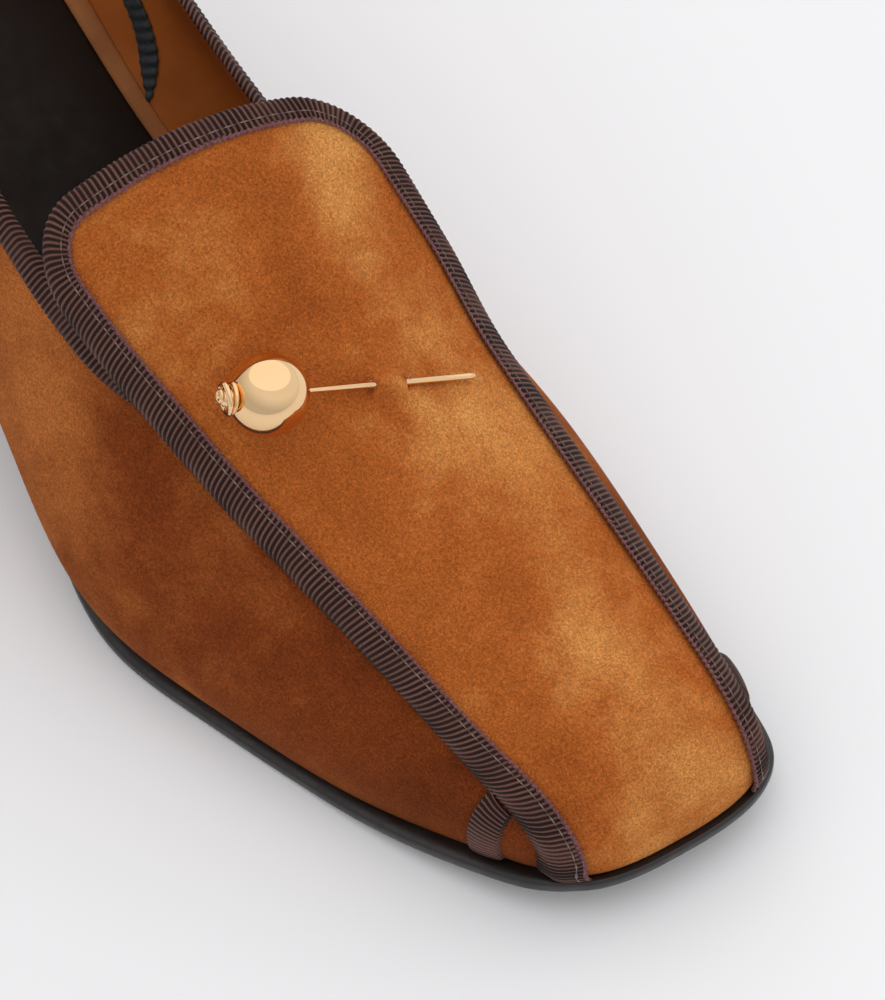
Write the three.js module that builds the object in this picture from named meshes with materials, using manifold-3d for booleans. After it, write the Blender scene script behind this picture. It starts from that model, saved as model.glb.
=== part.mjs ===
// A square-toed suede loafer pump for the right foot, in millimetres.
// +X points to the toe, +Y to the inner (big toe) side and +Z up. The origin is on the floor
// under the middle of the tread, the flat spot of the sole under the ball of the foot.
import * as THREE from 'three';
import { mergeVertices } from 'three/addons/utils/BufferGeometryUtils.js';
import Module from 'manifold-3d';

const wasm = await Module();
wasm.setup();

// Driving dimensions of the last, the form that the upper is pulled over
const LAST_LENGTH = 241;
const BALL_WIDTH = 78.5;
const INSTEP_HEIGHT = 66;
const HEEL_HEIGHT = 50;
const TOE_SPRING = 6.5;
const HEEL_ROUNDING = 28;
const TOE_ROUNDING = 11;
const TOE_ROLL = 17;
const TOE_SLANT = 0.14;
const TOE_MIDDLE = 3;
const HEEL_LEAN = 3.5;

// Walls, layers and clearances
const GAP = 0.3;
const UPPER_WALL = 1.4;
const APRON_WALL = 1.4;
const RIBBON_THICKNESS = 0.6;
const COLLAR_RIBBON_WIDTH = 2.9;
const RIBBON_WIDTH = 3.1;
const BINDING_GAP = 0.45;
const COLLAR_RIBBON_INSIDE = 3;
const SOLE_THICKNESS = 3.2;
const SOLE_EXTENSION = 2.1;
const SOLE_WAIST_EXTENSION = 0.6;
const SOLE_TOE_EXTENSION = 3.6;
const SOLE_EDGE_ROUNDING = 0.9;
const INSOLE_THICKNESS = 1.8;
const INSOLE_CLEARANCE = 0.5;
const INSOLE_TOE_CLEARANCE = 7;
const SOCK_THICKNESS = 1;
const SOCK_INSET = 2;

// Heel block and its top piece
const HEEL_SEAT_BACK = 1.6;
const HEEL_SEAT_LENGTH = 56;
const HEEL_TIP_LENGTH = 38;
const HEEL_TIP_WIDTH = 36;
const HEEL_TIP_BACK = 6;
const TOP_PIECE_THICKNESS = 5;
const HEEL_INSET = 0.8;

// Apron: the wide strap from the toe tip over the vamp, which ends as a free tongue
const TONGUE_TOP = 125.4;
const TONGUE_SLANT = 3.5;
const TONGUE_TILT = 4.8;
const TONGUE_CORNER = 9.5;
const TONGUE_ARCH = 8;
const APRON_LIFT_START = 168;
const TOE_FOLD_START = 176;
const TOE_FOLD_ROWS = 20;
const PLAN_SHARE = 0.9;
const APRON_GAP = 0.6;
const THROAT_CLEARANCE = 2.2;

// Collar opening
const COLLAR_JOIN = 141;
const THROAT = 153;
const COLLAR_RIBBON_END = 149;

// Ball pin
const BALL_RADIUS = 6.6;
const PIN_ROD_RADIUS = 0.55;
const PIN_BALL = { x: 0.657 * LAST_LENGTH, y: -0.158 * BALL_WIDTH };
const PIN_BRIDGE = { x: 0.6935 * LAST_LENGTH, y: 0.064 * BALL_WIDTH };
const PIN_BEYOND_BRIDGE = 16;
const BRIDGE_LENGTH = 6;
const BRIDGE_WIDTH = 5.6;
const BRIDGE_RISE = 3.2;
const CAP_RADIUS = 2.5;
const CAP_LENGTH = 3.4;

// Pleated trim inside the heel
const TRIM_WIDTH = 3;
const TRIM_THICKNESS = 0.8;

// Middle of the tread, which is the origin
const TREAD = { x: 0.71 * LAST_LENGTH, y: -1.6 };

// Sections of the last. Widths are shares of BALL_WIDTH and heights shares of INSTEP_HEIGHT.
// inner, outer: half widths; tuckInner, tuckOuter: how far the sole edge lies inside them;
// widest: height of the widest level; crown: height of the top; spread, rise: roundness.
const SECTIONS = [
  { at: 0.00, inner: 0.318, outer: 0.369, tuckInner: 0.038, tuckOuter: 0.038, widest: 0.258, crown: 1.440, spread: 2.40, rise: 2.20 },
  { at: 0.13, inner: 0.331, outer: 0.395, tuckInner: 0.038, tuckOuter: 0.038, widest: 0.258, crown: 1.390, spread: 2.35, rise: 2.00 },
  { at: 0.25, inner: 0.338, outer: 0.424, tuckInner: 0.076, tuckOuter: 0.064, widest: 0.242, crown: 1.150, spread: 2.15, rise: 1.70 },
  { at: 0.40, inner: 0.357, outer: 0.430, tuckInner: 0.146, tuckOuter: 0.092, widest: 0.212, crown: 0.970, spread: 1.85, rise: 1.40 },
  { at: 0.52, inner: 0.401, outer: 0.508, tuckInner: 0.102, tuckOuter: 0.076, widest: 0.189, crown: 0.963, spread: 1.65, rise: 1.45 },
  { at: 0.63, inner: 0.456, outer: 0.562, tuckInner: 0.038, tuckOuter: 0.040, widest: 0.152, crown: 0.800, spread: 1.80, rise: 1.70 },
  { at: 0.72, inner: 0.463, outer: 0.508, tuckInner: 0.025, tuckOuter: 0.028, widest: 0.121, crown: 0.617, spread: 2.00, rise: 1.90 },
  { at: 0.80, inner: 0.431, outer: 0.440, tuckInner: 0.019, tuckOuter: 0.019, widest: 0.106, crown: 0.490, spread: 2.20, rise: 2.00 },
  { at: 0.88, inner: 0.379, outer: 0.362, tuckInner: 0.015, tuckOuter: 0.015, widest: 0.091, crown: 0.377, spread: 2.40, rise: 2.10 },
  { at: 0.95, inner: 0.318, outer: 0.277, tuckInner: 0.013, tuckOuter: 0.013, widest: 0.076, crown: 0.303, spread: 2.60, rise: 2.20 },
  { at: 1.00, inner: 0.270, outer: 0.205, tuckInner: 0.010, tuckOuter: 0.010, widest: 0.061, crown: 0.258, spread: 2.70, rise: 2.20 },
];

// Underside of the sole: heights as shares of HEEL_HEIGHT, flat on the floor from 0.66 to TREAD_END
const SHANK = [
  { at: 0.00, height: 1.000 },
  { at: 0.10, height: 0.955 },
  { at: 0.20, height: 0.860 },
  { at: 0.30, height: 0.680 },
  { at: 0.40, height: 0.420 },
  { at: 0.50, height: 0.170 },
  { at: 0.60, height: 0.015 },
  { at: 0.66, height: 0.000 },
];
const TREAD_END = 0.76;

// Collar edge above the sole, as shares of INSTEP_HEIGHT, on the inner and the outer side
const COLLAR = [
  { at: 0.00, inner: 0.880, outer: 0.880 },
  { at: 0.13, inner: 0.800, outer: 0.800 },
  { at: 0.25, inner: 0.680, outer: 0.655 },
  { at: 0.40, inner: 0.620, outer: 0.625 },
  { at: 0.48, inner: 0.630, outer: 0.645 },
  { at: 0.55, inner: 0.680, outer: 0.684 },
  { at: 0.60, inner: 0.715, outer: 0.710 },
];

// Edges of the apron from the middle line, as shares of BALL_WIDTH
const APRON_EDGE = [
  { at: 0.48, inner: 0.332, outer: 0.402 },
  { at: 0.54, inner: 0.344, outer: 0.378 },
  { at: 0.62, inner: 0.376, outer: 0.350 },
  { at: 0.70, inner: 0.366, outer: 0.314 },
  { at: 0.78, inner: 0.345, outer: 0.281 },
  { at: 0.86, inner: 0.322, outer: 0.259 },
  { at: 0.94, inner: 0.284, outer: 0.240 },
  { at: 1.00, inner: 0.250, outer: 0.214 },
];

// Back and front edges of the ribbon tabs beside the toe, as shares of LAST_LENGTH
const TABS = {
  [1]: { back: 0.9272, front: 0.9520 },
  [-1]: { back: 0.9325, front: 0.9530 },
};

// Middle line of the heel trim, from the insole up and round the heel: height above the insole
const TRIM_LINE = [
  { at: 0.370, height: 0.055 },
  { at: 0.355, height: 0.078 },
  { at: 0.338, height: 0.106 },
  { at: 0.310, height: 0.132 },
  { at: 0.250, height: 0.165 },
  { at: 0.130, height: 0.195 },
  { at: 0.000, height: 0.205 },
];

const INNER = 1;
const OUTER = -1;

const clamp = (value, low, high) => Math.min(high, Math.max(low, value));
const mix = (a, b, t) => a + (b - a) * t;
const ease = (t) => t * t * (3 - 2 * t);

// Natural cubic spline through one column of a table, constant outside it
function smoothColumn(table, column) {
  const xs = table.map((row) => row.at);
  const ys = table.map((row) => row[column]);
  const last = xs.length - 1;
  const bend = new Array(last + 1).fill(0);
  const upper = new Array(last + 1).fill(0);
  for (let i = 1; i < last; i += 1) {
    const before = xs[i] - xs[i - 1];
    const after = xs[i + 1] - xs[i];
    const turn = 6 * ((ys[i + 1] - ys[i]) / after - (ys[i] - ys[i - 1]) / before);
    const pivot = 2 * (before + after) - before * upper[i - 1];
    upper[i] = after / pivot;
    bend[i] = (turn - before * bend[i - 1]) / pivot;
  }
  for (let i = last - 1; i > 0; i -= 1) bend[i] -= upper[i] * bend[i + 1];
  return (x) => {
    const at = clamp(x, xs[0], xs[last]);
    let i = 0;
    while (i < last - 1 && at > xs[i + 1]) i += 1;
    const span = xs[i + 1] - xs[i];
    const b = (at - xs[i]) / span;
    const a = 1 - b;
    const curve = ((a ** 3 - a) * bend[i] + (b ** 3 - b) * bend[i + 1]) * span ** 2 / 6;
    return a * ys[i] + b * ys[i + 1] + curve;
  };
}

// Monotone curve through one column of a table, for lines that must not overshoot
function steadyColumn(table, column) {
  const xs = table.map((row) => row.at);
  const ys = table.map((row) => row[column]);
  const last = xs.length - 1;
  const slopes = xs.slice(1).map((x, i) => (ys[i + 1] - ys[i]) / (x - xs[i]));
  const tangents = xs.map((x, i) => {
    if (i === 0 || i === last) return slopes[Math.min(i, last - 1)] * (i === last ? 0 : 1);
    const product = slopes[i - 1] * slopes[i];
    return product <= 0 ? 0 : (2 * product) / (slopes[i - 1] + slopes[i]);
  });
  return (x) => {
    const at = clamp(x, xs[0], xs[last]);
    let i = 0;
    while (i < last - 1 && at > xs[i + 1]) i += 1;
    const span = xs[i + 1] - xs[i];
    const t = (at - xs[i]) / span;
    const value = (1 + 2 * t) * (1 - t) ** 2 * ys[i] + t ** 2 * (3 - 2 * t) * ys[i + 1];
    return value + span * (t * (1 - t) ** 2 * tangents[i] - t ** 2 * (1 - t) * tangents[i + 1]);
  };
}

const section = Object.fromEntries(
  Object.keys(SECTIONS[0]).filter((name) => name !== 'at').map((name) => [name, smoothColumn(SECTIONS, name)]),
);
const shank = steadyColumn(SHANK, 'height');
const collar = { [INNER]: smoothColumn(COLLAR, 'inner'), [OUTER]: smoothColumn(COLLAR, 'outer') };
const apronEdge = { [INNER]: smoothColumn(APRON_EDGE, 'inner'), [OUTER]: smoothColumn(APRON_EDGE, 'outer') };

// Height of the underside of the sole, and of the plane that the upper stands on
function soleBottom(x) {
  const share = x / LAST_LENGTH;
  const spring = Math.max(0, (share - TREAD_END) / (1 - TREAD_END));
  return HEEL_HEIGHT * shank(share) + TOE_SPRING * spring ** 1.8;
}
const seat = (x) => soleBottom(x) + SOLE_THICKNESS;

// Half widths and heights of the last at x, grown outward by `grow`
function lastSection(x, side, grow) {
  const share = clamp(x / LAST_LENGTH, 0, 1);
  const name = side === INNER ? 'Inner' : 'Outer';
  const toe = clamp((x - LAST_LENGTH + TOE_ROUNDING) / (TOE_ROUNDING + grow), 0, 1);
  const roll = clamp((x - LAST_LENGTH + TOE_ROLL) / (TOE_ROLL + grow), 0, 1);
  const heel = clamp((HEEL_ROUNDING - x) / (HEEL_ROUNDING + grow), 0, 1);
  const narrow = (1 - toe ** 3.2) ** (1 / 2.6) * Math.sqrt(1 - heel ** 2);
  const low = Math.sqrt(1 - roll ** 2.4);
  return {
    wide: (BALL_WIDTH * section[name.toLowerCase()](share) + grow) * narrow,
    tuck: BALL_WIDTH * section[`tuck${name}`](share) * narrow,
    widest: INSTEP_HEIGHT * section.widest(share) * low,
    crown: (INSTEP_HEIGHT * section.crown(share) + grow) * low,
    spread: section.spread(share),
    rise: section.rise(share),
  };
}

// The toe's front edge runs slantwise, further forward on the inner side, and the back of the
// heel curves forward above and below its fullest level
function placedPoint(x, y, height) {
  const ramp = ease(clamp((x / LAST_LENGTH - 0.82) / 0.18, 0, 1));
  const fade = ease(clamp(1 - x / 70, 0, 1));
  const lean = HEEL_LEAN * fade * ((height - 18) / 40) ** 2;
  return new THREE.Vector3(x + TOE_SLANT * (y - TOE_MIDDLE) * ramp + lean, y, seat(x) + height);
}

// Half width of the last at height `height` above the seat
function halfWidth(x, height, side, grow = 0) {
  const form = lastSection(x, side, grow);
  const up = clamp((height - form.widest) / Math.max(form.crown - form.widest, 1e-6), 0, 1);
  const down = clamp((form.widest - height) / Math.max(form.widest, 1e-6), 0, 1);
  if (height > form.widest) return form.wide * (1 - up ** form.rise) ** (1 / form.spread);
  return form.wide - form.tuck * down ** 2;
}

// Place along a form grown by `grow` for the place x along the last itself
function grownPlace(x, grow) {
  const toeStart = LAST_LENGTH - TOE_ROUNDING;
  if (x < HEEL_ROUNDING) return HEEL_ROUNDING - (HEEL_ROUNDING - x) * (1 + grow / HEEL_ROUNDING);
  if (x > toeStart) return toeStart + (x - toeStart) * (1 + grow / TOE_ROUNDING);
  return x;
}

// Point of the form at place x along the last and height `height` above the seat
function lastPoint(x, height, side, grow = 0) {
  const place = grownPlace(x, grow);
  return placedPoint(place, side * halfWidth(place, height, side, grow), height);
}

// One side of a section as a fine line from the seat up to `top`, or to the crown
function legLine(x, side, grow, top = Infinity) {
  const place = grownPlace(x, grow);
  const form = lastSection(place, side, grow);
  const line = [];
  for (let i = 0; i < 8; i += 1) {
    const height = (form.widest * i) / 8;
    line.push(placedPoint(place, side * halfWidth(place, height, side, grow), height));
  }
  for (let i = 0; i <= 40; i += 1) {
    const angle = (Math.PI / 2) * (i / 40);
    const up = Math.sin(angle) ** (2 / form.rise);
    const y = i === 40 ? 0 : form.wide * Math.cos(angle) ** (2 / form.spread);
    line.push(placedPoint(place, side * y, form.widest + (form.crown - form.widest) * up));
  }
  if (top >= form.crown) return line;
  const kept = line.filter((point) => point.z - seat(place) < top);
  kept.push(placedPoint(place, side * halfWidth(place, top, side, grow), top));
  return kept;
}

// `count` + 1 points evenly spaced along a line, from share `from` to share `to` of its length
function spaced(line, count, from = 0, to = 1) {
  const lengths = [0];
  for (let i = 1; i < line.length; i += 1) lengths.push(lengths[i - 1] + line[i].distanceTo(line[i - 1]));
  const total = lengths[lengths.length - 1];
  const points = [];
  for (let k = 0; k <= count; k += 1) {
    const goal = total * mix(from, to, k / count);
    let i = 1;
    while (i < line.length - 1 && lengths[i] < goal) i += 1;
    const span = lengths[i] - lengths[i - 1];
    points.push(line[i - 1].clone().lerp(line[i], span > 1e-9 ? clamp((goal - lengths[i - 1]) / span, 0, 1) : 0));
  }
  return points;
}

// A closed body gathered from quads and triangles whose shared corners are merged
class Skin {
  constructor() {
    this.corners = [];
  }

  quad(a, b, c, d) {
    this.corners.push(a, b, c, a, c, d);
  }

  // Quads between two rows of points
  strip(rowA, rowB) {
    for (let i = 0; i < rowA.length - 1; i += 1) this.quad(rowA[i], rowA[i + 1], rowB[i + 1], rowB[i]);
  }

  // Quads between rows of points; `flip` turns the faces round
  grid(rows, flip = false) {
    for (let i = 0; i < rows.length - 1; i += 1) {
      if (flip) this.strip(rows[i + 1], rows[i]);
      else this.strip(rows[i], rows[i + 1]);
    }
  }

  // Tube through closed rings. Each ring runs up one side and back down the other, so that its
  // ends are filled by strips from side to side.
  static tube(rings) {
    const skin = new Skin();
    skin.grid(rings.map((ring) => [...ring, ring[0]]));
    const half = rings[0].length / 2;
    const cap = (ring, flip) => {
      const near = ring.slice(0, half);
      const far = ring.slice(half).reverse();
      skin.grid([near, far], flip);
    };
    cap(rings[0], true);
    cap(rings[rings.length - 1], false);
    return skin;
  }

  geometry() {
    const points = new Float32Array(this.corners.flatMap((p) => [p.x, p.y, p.z]));
    const loose = new THREE.BufferGeometry();
    loose.setAttribute('position', new THREE.BufferAttribute(points, 3));
    const merged = mergeVertices(loose, 1e-3);
    const index = merged.index.array;
    const kept = [];
    for (let i = 0; i < index.length; i += 3) {
      const [a, b, c] = index.slice(i, i + 3);
      if (a !== b && b !== c && a !== c) kept.push(a, b, c);
    }
    merged.setIndex(kept);
    return facingOut(merged);
  }
}

// The same closed geometry with its faces pointing out
function facingOut(geometry) {
  const at = geometry.attributes.position;
  const index = Array.from(geometry.index.array);
  const [a, b, c] = [new THREE.Vector3(), new THREE.Vector3(), new THREE.Vector3()];
  let volume = 0;
  for (let i = 0; i < index.length; i += 3) {
    a.fromBufferAttribute(at, index[i]);
    b.fromBufferAttribute(at, index[i + 1]);
    c.fromBufferAttribute(at, index[i + 2]);
    volume += a.dot(b.cross(c));
  }
  if (volume < 0) {
    for (let i = 0; i < index.length; i += 3) [index[i + 1], index[i + 2]] = [index[i + 2], index[i + 1]];
    geometry.setIndex(index);
  }
  return geometry;
}

// three.js geometry to a manifold solid and back
function toSolid(geometry) {
  const bare = geometry.clone();
  bare.deleteAttribute('normal');
  bare.deleteAttribute('uv');
  const merged = mergeVertices(bare, 1e-4);
  return new wasm.Manifold(new wasm.Mesh({
    numProp: 3,
    vertProperties: new Float32Array(merged.attributes.position.array),
    triVerts: new Uint32Array(merged.index.array),
  }));
}

function toGeometry(solid) {
  const mesh = solid.getMesh();
  const geometry = new THREE.BufferGeometry();
  geometry.setAttribute('position', new THREE.BufferAttribute(new Float32Array(mesh.vertProperties), 3));
  geometry.setIndex(Array.from(mesh.triVerts));
  return geometry;
}

// Places along the last from the heel's back to the toe tip, close together at both round ends
function stations({ heel = 8, middle = 22, toe = 8 } = {}) {
  const rollStart = LAST_LENGTH - TOE_ROLL;
  const toeStart = LAST_LENGTH - TOE_ROUNDING;
  const places = [];
  for (let i = 0; i < heel; i += 1) {
    places.push(HEEL_ROUNDING * (1 - Math.cos((Math.PI / 2) * (i / heel))));
  }
  for (let i = 0; i < middle; i += 1) places.push(mix(HEEL_ROUNDING, rollStart, i / middle));
  for (let i = 0; i < 2; i += 1) places.push(mix(rollStart, toeStart, i / 2));
  for (let i = 0; i <= toe; i += 1) {
    places.push(toeStart + TOE_ROUNDING * Math.sin((Math.PI / 2) * (i / toe)));
  }
  return places;
}

// Places of the collar's front end, where its edge climbs under the apron
const THROAT_PLACES = [
  COLLAR_JOIN,
  mix(COLLAR_JOIN, COLLAR_RIBBON_END, 0.55),
  COLLAR_RIBBON_END,
  mix(COLLAR_RIBBON_END, THROAT, 0.6),
  THROAT,
];

// Height of the collar edge above the seat; it climbs to the crown at the throat
function collarHeight(x, side, grow = 0) {
  const crown = lastSection(grownPlace(x, grow), side, grow).crown;
  const edge = INSTEP_HEIGHT * collar[side](Math.min(x, COLLAR_JOIN) / LAST_LENGTH);
  if (x <= COLLAR_JOIN) return Math.min(edge, crown);
  const t = clamp((x - COLLAR_JOIN) / (THROAT - COLLAR_JOIN), 0, 1);
  return mix(edge, crown, 1 - Math.sqrt(1 - t ** 2));
}

// Legs of the upper, round from the toe on the outer side, by the heel, to the toe on the inner side
function upperLegs(grow, steps = 14) {
  const places = stations()
    .filter((x) => x < COLLAR_JOIN - 2 || x > THROAT + 2)
    .concat(THROAT_PLACES)
    .sort((a, b) => a - b);
  const leg = (x, side) => {
    const open = x < THROAT - 1e-6;
    const top = open ? collarHeight(x, side, grow) : Infinity;
    return { open, points: spaced(legLine(x, side, grow, top), steps) };
  };
  const outer = places.map((x) => leg(x, OUTER)).reverse();
  const inner = places.map((x) => leg(x, INNER));
  return [...outer, ...inner.slice(1)];
}

function upper() {
  const outside = upperLegs(0);
  const inside = upperLegs(-UPPER_WALL);
  const skin = new Skin();
  skin.grid(outside.map((leg) => leg.points));
  skin.grid(inside.map((leg) => leg.points), true);
  for (let i = 0; i < outside.length - 1; i += 1) {
    const [a, b, c, d] = [outside[i], outside[i + 1], inside[i + 1], inside[i]].map((leg) => leg.points);
    const top = a.length - 1;
    skin.quad(a[0], b[0], c[0], d[0]);
    if (outside[i].open || outside[i + 1].open) skin.quad(b[top], a[top], d[top], c[top]);
  }
  return skin.geometry();
}

// A layer along the sole. `edge` lists height and half width down one side at a place x.
function layer(places, edge) {
  return Skin.tube(places.map((x) => {
    const [outer, inner] = [OUTER, INNER].map((side) => edge(x, side).map(({ place, height, width }) => (
      placedPoint(place, side * Math.max(width, 0), height)
    )));
    return [...outer, ...inner.reverse()];
  })).geometry();
}

// How far the sole stands out from the upper: most at the toe, least in the waist and at the heel
function soleExtension(x) {
  const share = x / LAST_LENGTH;
  const tread = ease(clamp((share - 0.42) / 0.16, 0, 1));
  const tip = ease(clamp((share - 0.78) / 0.18, 0, 1));
  return mix(mix(SOLE_WAIST_EXTENSION, SOLE_EXTENSION, tread), SOLE_TOE_EXTENSION, tip);
}

function outsole() {
  const r = SOLE_EDGE_ROUNDING;
  const profile = [
    { inset: 0.5 * r, height: -GAP },
    { inset: 0, height: -GAP - 0.7 * r },
    { inset: 0, height: -SOLE_THICKNESS + r },
    { inset: 0.3 * r, height: -SOLE_THICKNESS + 0.3 * r },
    { inset: r, height: -SOLE_THICKNESS },
  ];
  return layer(stations({ heel: 8, middle: 30, toe: 8 }), (x, side) => (
    profile.map(({ inset, height }) => {
      const grow = soleExtension(x) - inset;
      const place = grownPlace(x, grow);
      return { place, height, width: halfWidth(place, 0, side, grow) };
    })
  ));
}

// A board inside the upper, from height `low` to `high`, `inset` from the wall, short of the toe
function innerBoard(low, high, inset, toeClearance) {
  const grow = -UPPER_WALL - INSOLE_CLEARANCE - inset;
  const end = LAST_LENGTH - UPPER_WALL - INSOLE_CLEARANCE - toeClearance;
  const start = end - TOE_ROUNDING;
  const places = stations({ heel: 7, middle: 24, toe: 7 }).map((x) => (
    mix(0, end, x / LAST_LENGTH)
  ));
  return layer(places, (x, side) => {
    const place = grownPlace(x, grow);
    const tip = clamp((x - start) / (end - start), 0, 1);
    const round = (1 - tip ** 3.2) ** (1 / 2.6);
    return [high, low].map((height) => (
      { place: Math.min(place, end), height, width: halfWidth(place, height, side, grow) * round }
    ));
  });
}

// Plan outline of the heel: `along` runs from 0 at its back to 1 at its breast
function heelOutline(along, side, level) {
  const bend = 1 - (1 - level) ** 1.5;
  const seatX = mix(HEEL_SEAT_BACK, HEEL_SEAT_LENGTH, along);
  const widthAt = mix(-SOLE_WAIST_EXTENSION, HEEL_SEAT_LENGTH, along);
  const seatY = halfWidth(widthAt, 0, side, SOLE_WAIST_EXTENSION) - HEEL_INSET;
  const tipX = mix(HEEL_TIP_BACK, HEEL_TIP_BACK + HEEL_TIP_LENGTH, along);
  const tipY = (HEEL_TIP_WIDTH / 2) * Math.sqrt(1 - (1 - clamp(along / 0.5, 0, 1)) ** 2);
  return { x: mix(seatX, tipX, bend), y: side * mix(Math.max(seatY, 0), tipY, bend), seatX };
}

function heelBlock() {
  const levels = [0, 0.12, 0.26, 0.42, 0.6, 0.8, 1];
  const rows = [];
  for (let i = 0; i <= 16; i += 1) {
    const along = 1 - Math.cos((Math.PI / 2) * (i / 16));
    const column = (side) => levels.map((level) => {
      const { x, y, seatX } = heelOutline(along, side, level);
      const top = soleBottom(seatX) - GAP;
      return new THREE.Vector3(x, y, mix(top, TOP_PIECE_THICKNESS + GAP, level));
    });
    rows.push([...column(OUTER), ...column(INNER).reverse()]);
  }
  return Skin.tube(rows).geometry();
}

function heelTopPiece() {
  const outline = [];
  for (let i = 0; i <= 14; i += 1) {
    const { x, y } = heelOutline(1 - Math.cos((Math.PI / 2) * (i / 14)), OUTER, 1);
    outline.push(new THREE.Vector2(x, y));
  }
  const mirrored = outline.slice(1).map(({ x, y }) => new THREE.Vector2(x, -y)).reverse();
  const shape = new THREE.Shape([...outline, ...mirrored]);
  const bevel = 0.4;
  const geometry = new THREE.ExtrudeGeometry(shape, {
    depth: TOP_PIECE_THICKNESS - 2 * bevel,
    bevelThickness: bevel,
    bevelSize: bevel,
    bevelOffset: -bevel,
    bevelSegments: 1,
    curveSegments: 1,
  });
  return geometry.translate(0, 0, bevel);
}

// The binding round the collar: a folded ribbon with its outer and inner leaf
function collarBinding() {
  const out = GAP + RIBBON_THICKNESS;
  const inside = -UPPER_WALL - GAP;
  const ring = [
    { grow: out, down: COLLAR_RIBBON_WIDTH },
    { grow: out, down: -0.5 * out },
    { grow: mix(out, inside, 0.25), down: -out },
    { grow: GAP, down: -GAP },
    { grow: GAP, down: COLLAR_RIBBON_WIDTH },
  ];
  const fold = [
    { grow: inside, down: COLLAR_RIBBON_INSIDE },
    { grow: inside, down: -GAP },
    { grow: mix(out, inside, 0.75), down: -out },
    { grow: inside - RIBBON_THICKNESS, down: -0.5 * out },
    { grow: inside - RIBBON_THICKNESS, down: COLLAR_RIBBON_INSIDE },
  ];
  const [a, b, c, d, e] = ring;
  const [f, g, h, i, j] = fold;
  const loop = [a, b, c, h, i, j, f, g, d, e];
  const places = stations()
    .filter((x) => x < COLLAR_JOIN - 2)
    .concat(THROAT_PLACES.slice(0, 3));
  const rows = (side) => places.map((x) => loop.map(({ grow, down }) => (
    lastPoint(x, collarHeight(x, side) - down, side, grow)
  )));
  const rings = [...rows(OUTER).reverse(), ...rows(INNER).slice(1)];
  const skin = new Skin();
  skin.grid(rings.map((row) => [...row, row[0]]));
  for (const [row, flip] of [[rings[0], true], [rings[rings.length - 1], false]]) {
    const outerLeaf = [row[0], row[1], row[2]];
    const outerBack = [row[9], row[8], row[8]];
    const innerLeaf = [row[3], row[4], row[5]];
    const innerBack = [row[7], row[7], row[6]];
    skin.grid([outerLeaf, outerBack], flip);
    skin.grid([innerLeaf, innerBack], flip);
    skin.grid([[row[2], row[3]], [row[8], row[7]]], flip);
  }
  return skin.geometry();
}

// How far the underside of the apron stands off the last: more over the collar binding
function apronStandOff(x) {
  return APRON_GAP + THROAT_CLEARANCE * (1 - ease(clamp((x - COLLAR_RIBBON_END) / 20, 0, 1)));
}

// One side of the apron's section from the middle line down to the seat, raised by `level`
function apronLeg(x, side, level) {
  const grow = apronStandOff(x) + level;
  const line = legLine(x, side, grow).reverse();
  const lift = ease(clamp((APRON_LIFT_START - x) / (APRON_LIFT_START - TONGUE_TOP), 0, 1));
  const skew = 1 - ease(clamp((x - TONGUE_TOP) / 40, 0, 1));
  if (lift === 0) return line;
  const crown = line[0].z;
  const edge = BALL_WIDTH * apronEdge[side](x / LAST_LENGTH);
  return line.map((point) => {
    const flat = crown - TONGUE_ARCH * (Math.abs(point.y) / edge) ** 2.3;
    const bow = TONGUE_SLANT * clamp((point.y + 10) / 38, 0, 1.2) ** 2;
    const tilt = (TONGUE_TILT * point.y) / edge;
    return new THREE.Vector3(point.x + skew * (bow + tilt), point.y, mix(point.z, Math.max(flat, point.z), lift));
  });
}

// Half width of the apron in plan; its free end is rounded at the corners
function apronHalfWidth(x, side) {
  const edge = BALL_WIDTH * apronEdge[side](x / LAST_LENGTH);
  const fromTop = Math.max(x - TONGUE_TOP, 0);
  if (fromTop >= TONGUE_CORNER) return edge;
  return edge - TONGUE_CORNER + Math.sqrt(TONGUE_CORNER ** 2 - (TONGUE_CORNER - fromTop) ** 2);
}

// Point on a section's line, given from the middle outwards, at distance `y` from the middle;
// null where the section is narrower
function crossing(line, y) {
  const i = line.findIndex((point) => Math.abs(point.y) >= y);
  if (i < 0) return null;
  if (i === 0) return line[0].clone();
  const [from, to] = [Math.abs(line[i - 1].y), Math.abs(line[i].y)];
  return line[i - 1].clone().lerp(line[i], (y - from) / Math.max(to - from, 1e-9));
}

const apronAt = (x, y, level) => crossing(apronLeg(x, y < 0 ? OUTER : INNER, level), Math.abs(y));

// A line on the apron from TOE_FOLD_START over the toe and down to the seat, `width(x)` mm from
// the middle, as `count` + 1 points
function apronLine(side, width, level, count) {
  const points = [];
  let [low, high] = [TOE_FOLD_START, LAST_LENGTH];
  for (let i = 0; i <= 60; i += 1) {
    const x = mix(TOE_FOLD_START, LAST_LENGTH, 1 - (1 - i / 60) ** 2);
    const point = crossing(apronLeg(x, side, level), width(x));
    if (!point) {
      high = x;
      break;
    }
    points.push(point);
    low = x;
  }
  for (let i = 0; i < 20; i += 1) {
    const middle = (low + high) / 2;
    if (crossing(apronLeg(middle, side, level), width(middle))) low = middle;
    else high = middle;
  }
  const leg = apronLeg(low, side, level);
  const start = leg.findIndex((point) => Math.abs(point.y) >= width(low));
  if (width(low) > 0) points.push(...leg.slice(Math.max(start, 0)));
  return spaced(points, count);
}

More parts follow.
